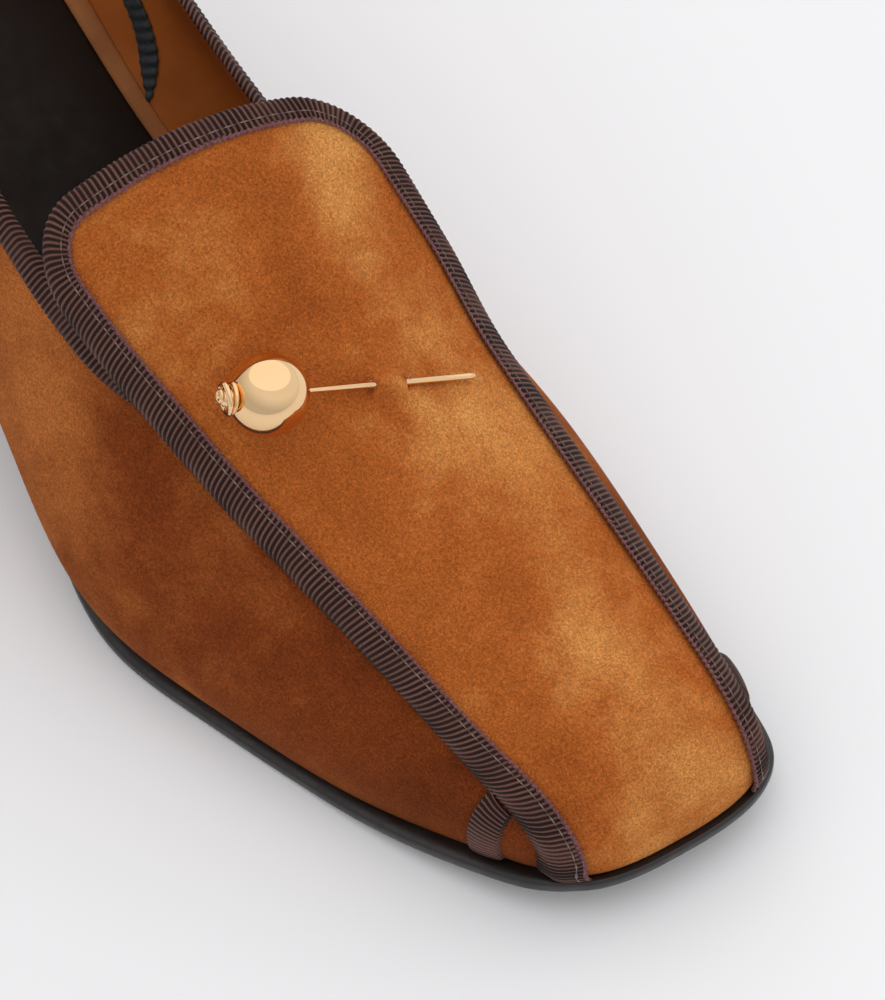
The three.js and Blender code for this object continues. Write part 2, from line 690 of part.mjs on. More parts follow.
// Rows of the apron at one level, from its free end to the toe, each from side to side
function apronRows(level) {
  const across = 8;
  const sides = (x) => [OUTER, INNER].map((side) => (
    Array.from({ length: across }, (_, i) => (
      apronAt(x, side * apronHalfWidth(x, side) * ((i + 1) / across), level)
    ))
  ));
  const corner = [0, 0.06, 0.2, 0.45, 0.75, 1].map((t) => TONGUE_TOP + TONGUE_CORNER * t);
  const bend = [1, 2, 3, 4, 5, 6].map((i) => mix(TONGUE_TOP + TONGUE_CORNER, TOE_FOLD_START, i / 7));
  const rows = [...corner, ...bend].map((x) => {
    const [outer, inner] = sides(x);
    return [...outer.reverse(), apronAt(x, 0, level), ...inner];
  });
  const fold = (side, i) => (
    apronLine(side, (x) => apronHalfWidth(x, side) * (i / across), level, TOE_FOLD_ROWS)
  );
  const lines = [];
  for (let i = across; i > 0; i -= 1) lines.push(fold(OUTER, i));
  for (let i = 0; i <= across; i += 1) lines.push(fold(INNER, i));
  for (let k = 0; k <= TOE_FOLD_ROWS; k += 1) rows.push(lines.map((line) => line[k]));
  return rows;
}

function apronSheet() {
  const top = apronRows(APRON_WALL);
  const under = apronRows(0);
  return Skin.tube(top.map((row, i) => [...row, ...under[i].slice().reverse()])).geometry();
}

// Height of the apron's top face over a place in plan, and the direction that it faces
const apronTop = (x, y) => apronAt(x, y, APRON_WALL);

function apronFacing(x, y) {
  const along = apronTop(x + 1, y).sub(apronTop(x - 1, y));
  const across = apronTop(x, y + 1).sub(apronTop(x, y - 1));
  return along.cross(across).normalize();
}

// The ball pin: its ball stands on the apron and its rod runs straight through the bridge
function pin() {
  const onApron = ({ x, y }, height) => apronTop(x, y).addScaledVector(apronFacing(x, y), height);
  const ball = onApron(PIN_BALL, BALL_RADIUS + GAP);
  const bridge = onApron(PIN_BRIDGE, PIN_ROD_RADIUS + 2 * GAP);
  const direction = bridge.clone().sub(ball).normalize();
  return { ball, bridge, direction, facing: apronFacing(PIN_BRIDGE.x, PIN_BRIDGE.y) };
}

// A geometry whose axis is Y, turned so that the axis follows `direction` and moved to `centre`
function along(geometry, direction, centre) {
  const turn = new THREE.Quaternion().setFromUnitVectors(new THREE.Vector3(0, 1, 0), direction);
  return geometry.applyQuaternion(turn).translate(centre.x, centre.y, centre.z);
}

function apron() {
  const { bridge, direction, facing } = pin();
  const side = new THREE.Vector3().crossVectors(direction, facing).normalize();
  const up = new THREE.Vector3().crossVectors(side, direction).normalize();
  const turn = new THREE.Matrix4().makeBasis(side, direction, up);
  const foot = bridge.clone().addScaledVector(up, -PIN_ROD_RADIUS - 3 * GAP);
  const dome = [new THREE.Vector2(0, 0)];
  for (let i = 0; i <= 8; i += 1) {
    const angle = (Math.PI / 2) * (i / 8);
    dome.push(new THREE.Vector2(i === 8 ? 0 : Math.cos(angle), Math.sin(angle)));
  }
  const bump = new THREE.LatheGeometry(dome, 20)
    .rotateX(Math.PI / 2)
    .scale(BRIDGE_WIDTH / 2, BRIDGE_LENGTH / 2, BRIDGE_RISE)
    .applyMatrix4(turn)
    .translate(foot.x, foot.y, foot.z);
  const hole = along(
    new THREE.CylinderGeometry(PIN_ROD_RADIUS + GAP, PIN_ROD_RADIUS + GAP, 5 * BRIDGE_LENGTH, 10),
    direction,
    bridge,
  );
  return toGeometry(toSolid(apronSheet()).add(toSolid(bump)).subtract(toSolid(hole)));
}

// The edge of the apron's free end in plan, from TOE_FOLD_START on the outer side round to the
// same place on the inner side, with the direction towards the apron's middle
function freeEdge(count) {
  const half = (side) => {
    const fine = [];
    for (let i = 0; i <= 60; i += 1) {
      const x = TONGUE_TOP + TONGUE_CORNER * (i / 60) ** 2;
      fine.push(new THREE.Vector3(x, side * apronHalfWidth(x, side), 0));
    }
    for (let i = 1; i <= 20; i += 1) {
      const x = mix(TONGUE_TOP + TONGUE_CORNER, TOE_FOLD_START, i / 20);
      fine.push(new THREE.Vector3(x, side * apronHalfWidth(x, side), 0));
    }
    return fine;
  };
  const points = spaced([...half(OUTER).reverse(), ...half(INNER)], count);
  return points.map((point, i) => {
    const tangent = points[Math.min(i + 1, count)].clone().sub(points[Math.max(i - 1, 0)]).normalize();
    return { point, inward: new THREE.Vector3(tangent.y, -tangent.x, 0) };
  });
}

function apronBinding() {
  const top = APRON_WALL + BINDING_GAP;
  const side = -BINDING_GAP - RIBBON_THICKNESS;
  const ring = [
    { inward: RIBBON_WIDTH, level: top },
    { inward: -BINDING_GAP, level: top },
    { inward: -BINDING_GAP, level: 0.2 },
    { inward: side, level: 0.2 },
    { inward: side, level: top + 0.3 * RIBBON_THICKNESS },
    { inward: 0.5 * side, level: top + RIBBON_THICKNESS },
    { inward: RIBBON_WIDTH, level: top + RIBBON_THICKNESS },
  ];
  const folds = (half) => {
    const lines = ring.map(({ inward, level }) => apronLine(
      half,
      (x) => apronHalfWidth(x, half) - inward * PLAN_SHARE,
      level,
      TOE_FOLD_ROWS + 4,
    ));
    return lines[0].map((_, k) => lines.map((line) => line[k]));
  };
  const free = freeEdge(40).slice(1, -1).map(({ point, inward: direction }) => (
    ring.map(({ inward, level }) => {
      const place = point.clone().addScaledVector(direction, inward * PLAN_SHARE);
      return apronAt(place.x, place.y, level);
    })
  ));
  const rings = [...folds(OUTER).reverse(), ...free, ...folds(INNER)];
  const skin = new Skin();
  skin.grid(rings.map((row) => [...row, row[0]]));
  for (const [row, flip] of [[rings[0], true], [rings[rings.length - 1], false]]) {
    skin.grid([[row[1], row[2], row[3]], [row[5], row[4], row[4]]], flip);
    skin.grid([[row[0], row[1]], [row[6], row[5]]], flip);
  }
  return skin.geometry();
}

// A ribbon end beside the toe, from the seat up to the apron's binding
function toeTab(side) {
  const { back, front } = TABS[side];
  const [low, high] = [GAP, GAP + RIBBON_THICKNESS];
  const topOf = (x) => {
    const limit = BALL_WIDTH * apronEdge[side](x / LAST_LENGTH) + RIBBON_THICKNESS + 4 * GAP;
    let height = lastSection(x, side, high).crown;
    while (height > 0 && halfWidth(x, height, side, low) < limit) height -= 0.1;
    return height;
  };
  const across = 4;
  const up = 7;
  const rings = [];
  for (let i = 0; i <= up; i += 1) {
    const row = (grow) => Array.from({ length: across + 1 }, (_, k) => {
      const x = LAST_LENGTH * mix(back, front, k / across);
      return lastPoint(x, mix(0.2, topOf(x), i / up), side, grow);
    });
    rings.push([...row(low), ...row(high).reverse()]);
  }
  return Skin.tube(rings).geometry();
}

// The trim round the inside of the heel, from one side of the insole to the other
function heelTrim() {
  const height = smoothColumn([...TRIM_LINE].reverse(), 'height');
  const end = TRIM_LINE[0].at * LAST_LENGTH;
  const outer = -UPPER_WALL - GAP;
  const inner = outer - TRIM_THICKNESS;
  const places = [0, 0.015, 0.04, 0.08, 0.13, 0.2, 0.28, 0.36, 0.45, 0.54, 0.63, 0.72, 0.81, 0.9, 1];
  const rows = (side) => places.map((t) => {
    const x = end * t;
    const middle = INSTEP_HEIGHT * height(x / LAST_LENGTH);
    const at = (rise, grow) => lastPoint(x, middle + rise * (TRIM_WIDTH / 2), side, grow);
    return [at(1, outer), at(-1, outer), at(-1, inner), at(1, inner)];
  });
  return Skin.tube([...rows(OUTER).reverse(), ...rows(INNER).slice(1)]).geometry();
}

function pinBall() {
  const { ball } = pin();
  return new THREE.SphereGeometry(BALL_RADIUS, 24, 14).translate(ball.x, ball.y, ball.z);
}

function pinRod() {
  const { ball, bridge, direction } = pin();
  const from = BALL_RADIUS + GAP;
  const to = ball.distanceTo(bridge) + PIN_BEYOND_BRIDGE;
  const profile = [[0, -0.5], [1, -0.5], [1, 0.47], [0.55, 0.495], [0, 0.5]].map(([radius, share]) => (
    new THREE.Vector2(radius * PIN_ROD_RADIUS, share * (to - from))
  ));
  const centre = ball.clone().addScaledVector(direction, (from + to) / 2);
  return along(new THREE.LatheGeometry(profile, 12), direction, centre);
}

// The wound cap on the ball, opposite the rod
function pinCap() {
  const { ball, direction } = pin();
  const profile = [new THREE.Vector2(0, 0)];
  const steps = 12;
  for (let i = 0; i <= steps; i += 1) {
    const t = i / steps;
    const winding = 0.16 * Math.abs(Math.sin(3 * Math.PI * t));
    const radius = CAP_RADIUS * (0.8 + winding - 0.45 * t ** 3);
    profile.push(new THREE.Vector2(radius, CAP_LENGTH * t));
  }
  profile.push(new THREE.Vector2(0, CAP_LENGTH));
  const away = direction.clone().negate();
  const centre = ball.clone().addScaledVector(away, Math.sqrt(BALL_RADIUS ** 2 - CAP_RADIUS ** 2) + GAP + 0.5);
  return along(new THREE.LatheGeometry(profile, 12), away, centre);
}

const MATERIALS = {
  suede: { color: '#8f5225', roughness: 0.95, metalness: 0 },
  apronSuede: { color: '#b0702e', roughness: 0.95, metalness: 0 },
  ribbon: { color: '#4a302b', roughness: 0.85, metalness: 0 },
  sole: { color: '#1b1716', roughness: 0.3, metalness: 0 },
  topPiece: { color: '#1a1817', roughness: 0.7, metalness: 0 },
  insole: { color: '#b98452', roughness: 0.6, metalness: 0 },
  sock: { color: '#141212', roughness: 0.35, metalness: 0 },
  gold: { color: '#e2b7a3', roughness: 0.08, metalness: 1 },
  trim: { color: '#1d2426', roughness: 0.7, metalness: 0 },
};

const PIECES = [
  ['upper', upper, 'suede'],
  ['apron', apron, 'apronSuede'],
  ['outsole', outsole, 'sole'],
  ['heel', heelBlock, 'suede'],
  ['heel_top_piece', heelTopPiece, 'topPiece'],
  ['insole', () => innerBoard(0, INSOLE_THICKNESS, 0, INSOLE_TOE_CLEARANCE), 'insole'],
  ['sock', () => innerBoard(
    INSOLE_THICKNESS + GAP,
    INSOLE_THICKNESS + GAP + SOCK_THICKNESS,
    SOCK_INSET,
    INSOLE_TOE_CLEARANCE + SOCK_INSET,
  ), 'sock'],
  ['collar_binding', collarBinding, 'ribbon'],
  ['apron_binding', apronBinding, 'ribbon'],
  ['toe_tab_outer', () => toeTab(OUTER), 'ribbon'],
  ['toe_tab_inner', () => toeTab(INNER), 'ribbon'],
  ['heel_trim', heelTrim, 'trim'],
  ['pin_ball', pinBall, 'gold'],
  ['pin_rod', pinRod, 'gold'],
  ['pin_cap', pinCap, 'gold'],
];

const shoe = new THREE.Group();
shoe.position.set(-TREAD.x, -TREAD.y, 0);
for (const [name, build, finish] of PIECES) {
  const mesh = new THREE.Mesh(build(), new THREE.MeshStandardMaterial(MATERIALS[finish]));
  mesh.name = name;
  shoe.add(mesh);
}

export default shoe;
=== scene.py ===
"""Looks of the loafer pump: suede, grosgrain ribbon, lining and the ball pin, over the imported
frame. Lengths are in millimetres in the frame of the last, whose +X runs to the toe and +Y to
the inner side, and go to metres in the row's frame in place()."""
import math

import bmesh
import bpy
import numpy as np
from mathutils import Matrix, Vector


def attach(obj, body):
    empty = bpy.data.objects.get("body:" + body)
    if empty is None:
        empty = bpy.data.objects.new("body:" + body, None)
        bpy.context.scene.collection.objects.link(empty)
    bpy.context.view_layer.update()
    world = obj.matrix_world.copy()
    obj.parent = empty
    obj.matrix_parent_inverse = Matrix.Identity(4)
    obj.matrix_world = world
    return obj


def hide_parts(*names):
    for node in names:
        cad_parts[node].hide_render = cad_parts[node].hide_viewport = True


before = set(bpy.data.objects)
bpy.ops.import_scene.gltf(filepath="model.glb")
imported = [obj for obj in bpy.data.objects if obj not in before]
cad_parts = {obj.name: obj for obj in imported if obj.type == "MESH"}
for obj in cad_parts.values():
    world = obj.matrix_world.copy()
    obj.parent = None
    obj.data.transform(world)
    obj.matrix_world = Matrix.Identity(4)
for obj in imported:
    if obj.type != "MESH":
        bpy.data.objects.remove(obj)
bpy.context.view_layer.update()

# The last and the layers on it, as in the solids
LENGTH = 241.0
BALL = 78.5
INSTEP = 66.0
HEEL = 50.0
TOE_SPRING = 6.5
HEEL_ROUNDING = 28.0
TOE_ROUNDING = 11.0
TOE_ROLL = 17.0
TOE_SLANT = 0.14
TOE_MIDDLE = 3.0
HEEL_LEAN = 3.5
GAP = 0.3
UPPER_WALL = 1.4
APRON_WALL = 1.4
APRON_GAP = 0.6
SOLE = 3.2
RIBBON = 3.1
COLLAR_RIBBON = 2.9
RIBBON_INSIDE = 1.6
RIBBON_THICK = 0.6
RIB_PITCH = 1.04
PLAN_SHARE = 0.9
TONGUE_TOP = 125.4
TONGUE_SLANT = 3.5
TONGUE_TILT = 4.8
TONGUE_CORNER = 9.5
TONGUE_ARCH = 8.0
LIFT_START = 168.0
FOLD_START = 176.0
THROAT_CLEARANCE = 2.2
COLLAR_JOIN = 141.0
THROAT = 153.0
COLLAR_END = 149.0
BALL_RADIUS = 6.6
ROD_RADIUS = 0.55
PIN_BALL = (0.657 * LENGTH, -0.158 * BALL)
PIN_BRIDGE = (0.6935 * LENGTH, 0.064 * BALL)
ORIGIN = np.array([0.71 * LENGTH, -1.6, 0.0])
INNER, OUTER = 1, -1
LEG_STEPS = 72

# Sections as shares of the sizes: at, inner, outer, tuck inner, tuck outer, widest, crown, and
# the two roundnesses, spread and rise
SECTIONS = np.array([
    [0.00, 0.318, 0.369, 0.038, 0.038, 0.258, 1.440, 2.40, 2.20],
    [0.13, 0.331, 0.395, 0.038, 0.038, 0.258, 1.390, 2.35, 2.00],
    [0.25, 0.338, 0.424, 0.076, 0.064, 0.242, 1.150, 2.15, 1.70],
    [0.40, 0.357, 0.430, 0.146, 0.092, 0.212, 0.970, 1.85, 1.40],
    [0.52, 0.401, 0.508, 0.102, 0.076, 0.189, 0.963, 1.65, 1.45],
    [0.63, 0.456, 0.562, 0.038, 0.040, 0.152, 0.800, 1.80, 1.70],
    [0.72, 0.463, 0.508, 0.025, 0.028, 0.121, 0.617, 2.00, 1.90],
    [0.80, 0.431, 0.440, 0.019, 0.019, 0.106, 0.490, 2.20, 2.00],
    [0.88, 0.379, 0.362, 0.015, 0.015, 0.091, 0.377, 2.40, 2.10],
    [0.95, 0.318, 0.277, 0.013, 0.013, 0.076, 0.303, 2.60, 2.20],
    [1.00, 0.270, 0.205, 0.010, 0.010, 0.061, 0.258, 2.70, 2.20],
])
SHANK = np.array([
    [0.00, 1.000], [0.10, 0.955], [0.20, 0.860], [0.30, 0.680],
    [0.40, 0.420], [0.50, 0.170], [0.60, 0.015], [0.66, 0.000],
])
TREAD_END = 0.76
# at, inner, outer. The inner collar stands a little higher than in the solids
COLLAR = np.array([
    [0.00, 0.880, 0.880], [0.13, 0.815, 0.800], [0.25, 0.715, 0.655], [0.40, 0.662, 0.625],
    [0.48, 0.670, 0.645], [0.55, 0.705, 0.684], [0.60, 0.725, 0.710],
])
# at, inner, outer, as shares of the ball's width
APRON_EDGE = np.array([
    [0.48, 0.332, 0.402], [0.54, 0.344, 0.378], [0.62, 0.376, 0.350], [0.70, 0.366, 0.314],
    [0.78, 0.345, 0.281], [0.86, 0.322, 0.259], [0.94, 0.284, 0.240], [1.00, 0.250, 0.214],
])
TABS = {INNER: (0.9272, 0.9520), OUTER: (0.9325, 0.9530)}
# Along and above the seat, in millimetres, to the trim's pointed end
TRIM = np.array([
    [0.0, 13.4], [30.0, 12.8], [55.0, 11.0], [68.0, 9.3],
    [76.0, 8.0], [81.0, 6.4], [85.0, 4.0], [88.0, 1.6],
])


def spline(rows, column):
    """Natural cubic spline through one column of a table."""
    xs, ys = rows[:, 0], rows[:, column]
    n, h = len(xs), np.diff(xs)
    a, r = np.eye(n), np.zeros(n)
    for i in range(1, n - 1):
        a[i, i - 1 : i + 2] = h[i - 1], 2 * (h[i - 1] + h[i]), h[i]
        r[i] = 6 * ((ys[i + 1] - ys[i]) / h[i] - (ys[i] - ys[i - 1]) / h[i - 1])
    bend = np.linalg.solve(a, r)

    def value(x):
        x = np.clip(x, xs[0], xs[-1])
        i = np.clip(np.searchsorted(xs, x, side="right") - 1, 0, n - 2)
        b = (x - xs[i]) / h[i]
        a = 1 - b
        curve = ((a**3 - a) * bend[i] + (b**3 - b) * bend[i + 1]) * h[i] ** 2 / 6
        return a * ys[i] + b * ys[i + 1] + curve

    return value


def steady(rows, column):
    """Monotone curve through one column of a table."""
    xs, ys = rows[:, 0], rows[:, column]
    h = np.diff(xs)
    slope = np.diff(ys) / h
    product = slope[:-1] * slope[1:]
    inside = np.where(product <= 0, 0, 2 * product / np.where(product <= 0, 1, slope[:-1] + slope[1:]))
    tangent = np.concatenate([[slope[0]], inside, [0.0]])

    def value(x):
        x = np.clip(x, xs[0], xs[-1])
        i = np.clip(np.searchsorted(xs, x, side="right") - 1, 0, len(xs) - 2)
        t = (x - xs[i]) / h[i]
        level = (1 + 2 * t) * (1 - t) ** 2 * ys[i] + t**2 * (3 - 2 * t) * ys[i + 1]
        return level + h[i] * (t * (1 - t) ** 2 * tangent[i] - t**2 * (1 - t) * tangent[i + 1])

    return value


shank = steady(SHANK, 1)
inner, outer, tuck_in, tuck_out, widest, crown, spread, rise = (spline(SECTIONS, k) for k in range(1, 9))
HALF = {INNER: inner, OUTER: outer}
TUCK = {INNER: tuck_in, OUTER: tuck_out}
collar = {INNER: spline(COLLAR, 1), OUTER: spline(COLLAR, 2)}
apron_edge = {INNER: spline(APRON_EDGE, 1), OUTER: spline(APRON_EDGE, 2)}
trim_height = spline(TRIM, 1)


def ease(t):
    t = np.clip(t, 0, 1)
    return t * t * (3 - 2 * t)


def mix(a, b, t):
    return a + (b - a) * t


def seat(x):
    """Height of the plane that the upper stands on."""
    share = x / LENGTH
    spring = np.maximum(0, (share - TREAD_END) / (1 - TREAD_END))
    return HEEL * shank(share) + TOE_SPRING * spring**1.8 + SOLE


def grown(x, grow):
    """Place along a form grown by grow, for the place x along the last itself."""
    toe = LENGTH - TOE_ROUNDING
    if x < HEEL_ROUNDING:
        return HEEL_ROUNDING - (HEEL_ROUNDING - x) * (1 + grow / HEEL_ROUNDING)
    if x > toe:
        return toe + (x - toe) * (1 + grow / TOE_ROUNDING)
    return x


def section(x, side, grow):
    """Half width, tuck, height of the widest level and of the crown, and the two roundnesses."""
    share = np.clip(x / LENGTH, 0, 1)
    toe = np.clip((x - LENGTH + TOE_ROUNDING) / (TOE_ROUNDING + grow), 0, 1)
    roll = np.clip((x - LENGTH + TOE_ROLL) / (TOE_ROLL + grow), 0, 1)
    heel = np.clip((HEEL_ROUNDING - x) / (HEEL_ROUNDING + grow), 0, 1)
    narrow = (1 - toe**3.2) ** (1 / 2.6) * np.sqrt(1 - heel**2)
    low = np.sqrt(1 - roll**2.4)
    return (
        (BALL * HALF[side](share) + grow) * narrow,
        BALL * TUCK[side](share) * narrow,
        INSTEP * widest(share) * low,
        (INSTEP * crown(share) + grow) * low,
        spread(share),
        rise(share),
    )


def placed(x, y, height):
    """Point at a place along the last, with the toe's slant and the heel's lean."""
    ramp = ease((x / LENGTH - 0.82) / 0.18)
    lean = HEEL_LEAN * ease(1 - x / 70) * ((height - 18) / 40) ** 2
    x, y, height, ramp, lean = np.broadcast_arrays(x, y, height, ramp, lean)
    return np.stack([x + TOE_SLANT * (y - TOE_MIDDLE) * ramp + lean, y, seat(x) + height], -1)


def half_width(x, height, side, grow):
    wide, tuck, mid, top, n, m = section(x, side, grow)
    up = np.clip((height - mid) / np.maximum(top - mid, 1e-6), 0, 1)
    down = np.clip((mid - height) / np.maximum(mid, 1e-6), 0, 1)
    return np.where(height > mid, wide * (1 - up**m) ** (1 / n), wide - tuck * down**2)


def last_point(x, height, side, grow):
    place = grown(x, grow)
    return placed(place, side * half_width(place, height, side, grow), height)


def leg(x, side, grow, top=None):
    """One side of a section as a fine line from the seat up to a height, or to the crown."""
    place = grown(x, grow)
    wide, tuck, mid, high, n, m = section(place, side, grow)
    low = mid * np.linspace(0, 1, 13)[:-1]
    angle = np.linspace(0, np.pi / 2, LEG_STEPS)
    height = np.concatenate([low, mid + (high - mid) * np.sin(angle) ** (2 / m)])
    y = wide * np.maximum(np.cos(angle), 0) ** (2 / n)
    y[-1] = 0
    y = np.concatenate([half_width(place, low, side, grow), y])
    if top is not None and top < high:
        keep = height < top
        y = np.append(y[keep], half_width(place, top, side, grow))
        height = np.append(height[keep], top)
    return placed(place, side * y, height)


def spaced(line, count):
    """Points evenly spaced along a line."""
    steps = np.linalg.norm(np.diff(line, axis=0), axis=1)
    lengths = np.concatenate([[0], np.cumsum(steps)])
    goals = lengths[-1] * np.linspace(0, 1, count + 1)
    return np.stack([np.interp(goals, lengths, line[:, k]) for k in range(3)], -1)


def collar_height(x, side, grow=0.0):
    top = section(grown(x, grow), side, grow)[3]
    edge = INSTEP * collar[side](min(x, COLLAR_JOIN) / LENGTH)
    if x <= COLLAR_JOIN:
        return float(min(edge, top))
    t = min((x - COLLAR_JOIN) / (THROAT - COLLAR_JOIN), 1)
    return float(mix(edge, top, 1 - math.sqrt(1 - t * t)))


def stations(heel, middle, toe):
    """Places along the last, close together at both round ends."""
    start = LENGTH - TOE_ROUNDING
    return np.concatenate([
        HEEL_ROUNDING * (1 - np.cos(np.linspace(0, np.pi / 2, heel + 1)[:-1])),
        np.linspace(HEEL_ROUNDING, start, middle + 1)[:-1],
        start + TOE_ROUNDING * np.sin(np.linspace(0, np.pi / 2, toe + 1)),
    ])


def stand_off(x):
    return APRON_GAP + THROAT_CLEARANCE * (1 - ease((x - COLLAR_END) / 20))


def apron_leg(x, side, level):
    """One side of the apron's section from its middle line down to the seat."""
    line = leg(x, side, stand_off(x) + level)[::-1]
    lift = float(ease((LIFT_START - x) / (LIFT_START - TONGUE_TOP)))
    if lift == 0:
        return line
    skew = 1 - ease((x - TONGUE_TOP) / 40)
    edge = BALL * apron_edge[side](x / LENGTH)
    flat = line[0, 2] - TONGUE_ARCH * (np.abs(line[:, 1]) / edge) ** 2.3
    bow = TONGUE_SLANT * np.clip((line[:, 1] + 10) / 38, 0, 1.2) ** 2
    pull = skew * (bow + TONGUE_TILT * line[:, 1] / edge)
    height = mix(line[:, 2], np.maximum(flat, line[:, 2]), lift)
    return np.stack([line[:, 0] + pull, line[:, 1], height], -1)


def apron_half(x, side):
    edge = BALL * apron_edge[side](x / LENGTH)
    from_top = max(x - TONGUE_TOP, 0)
    if from_top >= TONGUE_CORNER:
        return edge
    return edge - TONGUE_CORNER + math.sqrt(TONGUE_CORNER**2 - (TONGUE_CORNER - from_top) ** 2)


def crossing(line, y):
    """Points on a line, given from the middle outwards, at distances y from the middle."""
    end = int(np.argmax(np.abs(line[:, 1]))) + 1
    across = np.abs(line[:end, 1])
    return np.stack([np.interp(y, across, line[:end, k]) for k in range(3)], -1)


def apron_at(x, y, level):
    return crossing(apron_leg(x, OUTER if y < 0 else INNER, level), abs(y))


FOLD_X = mix(FOLD_START, LENGTH, 1 - (1 - np.linspace(0, 1, 161)) ** 2)
FOLD_LEGS = {}


def fold_line(side, width, level, count):
    """Line on the apron from FOLD_START over the toe down to the seat, width(x) from the middle."""
    key = side, round(level, 4)
    if key not in FOLD_LEGS:
        FOLD_LEGS[key] = [apron_leg(x, side, level) for x in FOLD_X]
    points = []
    for x, line in zip(FOLD_X, FOLD_LEGS[key]):
        y = max(width(x), 0)
        reach = np.abs(line[:, 1])
        if reach.max() < y:
            break
        points.append(crossing(line, y))
        tail = line[max(int(np.argmax(reach >= y)), 0) :]
    if width(LENGTH) > 0:
        points.extend(tail)
    return spaced(np.array(points), count)


def place(points):
    """Millimetres in the frame of the last to metres in the row's frame."""
    return (np.asarray(points, float) - ORIGIN) / 1000


def lengths_along(points):
    """Running length along the first direction of a grid, averaged over the second."""
    steps = np.linalg.norm(np.diff(points, axis=0), axis=2)
    return np.concatenate([np.zeros((1, points.shape[1])), np.cumsum(steps, 0)])


def sheet(name, points, material, close=False, flip=False):
    """A grid of quads through points[i, j], with UVs in centimetres along both directions."""
    nu, nv = points.shape[0] - 1, points.shape[1] - 1
    along = lengths_along(points).mean(1)
    across = lengths_along(points.transpose(1, 0, 2)).mean(1)
    metres = place(points)
    bm = bmesh.new()
    bmesh.ops.create_grid(bm, x_segments=nu, y_segments=nv, size=1)
    uv = bm.loops.layers.uv.new("UVMap")
    spot = {}
    for v in bm.verts:
        i, j = round((v.co.x + 1) / 2 * nu), round((v.co.y + 1) / 2 * nv)
        spot[v.index] = (along[i] / 10, across[j] / 10)
        v.co = Vector(metres[i, j])
    for face in bm.faces:
        face.smooth = True
        for loop in face.loops:
            loop[uv].uv = spot[loop.vert.index]
    if close:
        bmesh.ops.remove_doubles(bm, verts=bm.verts, dist=1e-7)
    if flip:
        bmesh.ops.reverse_faces(bm, faces=bm.faces)
    mesh = bpy.data.meshes.new(name)
    bm.to_mesh(mesh)
    bm.free()
    mesh.materials.append(material)
    obj = bpy.data.objects.new(name, mesh)
    bpy.context.scene.collection.objects.link(obj)
    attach(obj, "root")
    return obj


def brush_and_painted_light_marks(obj, marks):
    """Lighter and darker marks of the suede, partly its own brush marks and partly painted light and shade,
    given as (x, y, reach, reach across, angle, amount) in plan, kept in an attribute of the corners."""
    flat = np.empty(3 * len(obj.data.vertices))
    obj.data.vertices.foreach_get("co", flat)
    x, y, _ = (flat.reshape(-1, 3) * 1000 + ORIGIN).T
    value = np.zeros(len(x))
    for at_x, at_y, long, wide, angle, amount in marks:
        c, s = math.cos(math.radians(angle)), math.sin(math.radians(angle))
        a, b = (x - at_x) * c + (y - at_y) * s, -(x - at_x) * s + (y - at_y) * c
        value += amount * np.exp(-((a / long) ** 2) - (b / wide) ** 2)
    layer = obj.data.attributes.new("brush_and_painted_light", "FLOAT", "POINT")
    layer.data.foreach_set("value", value.astype(np.float32))


def outward(points):
    """Unit normals of a grid of points."""
    du = np.gradient(points, axis=0)
    dv = np.gradient(points, axis=1)
    normal = np.cross(du, dv)
    return normal / np.maximum(np.linalg.norm(normal, axis=2, keepdims=True), 1e-9)


def linear(text):
    """sRGB hex to linear RGBA."""
    parts = [int(text[i : i + 2], 16) / 255 for i in (1, 3, 5)]
    return (*[c / 12.92 if c <= 0.04045 else ((c + 0.055) / 1.055) ** 2.4 for c in parts], 1.0)


def add(tree, kind, values=None, **settings):
    """A new node with its settings, and its inputs set to values or linked from sockets."""
    node = tree.nodes.new(kind)
    for name, value in settings.items():
        setattr(node, name, value)
    for name, value in (values or {}).items():
        if isinstance(value, bpy.types.NodeSocket):
            tree.links.new(value, node.inputs[name])
        else:
            node.inputs[name].default_value = value
    return node


def new_material(name, **values):
    material = bpy.data.materials.new(name)
    material.use_nodes = True
    tree = material.node_tree
    shader = tree.nodes["Principled BSDF"]
    for key, value in values.items():
        shader.inputs[key.replace("_", " ")].default_value = value
    return material, tree, shader


def ramp(tree, factor, stops):
    node = add(tree, "ShaderNodeValToRGB", {"Fac": factor})
    elements = node.color_ramp.elements
    while len(elements) < len(stops):
        elements.new(0.5)
    for element, (at, colour) in zip(elements, stops):
        element.position = at
        element.color = linear(colour) if isinstance(colour, str) else (colour, colour, colour, 1)
    return node.outputs["Color"]


def shaded(tree, share, colour, shade):
    """A colour multiplied by a shade, by a share."""
    node = add(tree, "ShaderNodeMix", data_type="RGBA", blend_type="MULTIPLY")
    node.inputs[0].default_value = share
    tree.links.new(colour, node.inputs[6])
    tree.links.new(shade, node.inputs[7])
    return node.outputs[2]


def noise(tree, vector, scale, detail=3.0, roughness=0.55, distortion=0.0):
    return add(tree, "ShaderNodeTexNoise", {
        "Vector": vector, "Scale": scale, "Detail": detail, "Roughness": roughness,
        "Distortion": distortion,
    }).outputs["Fac"]


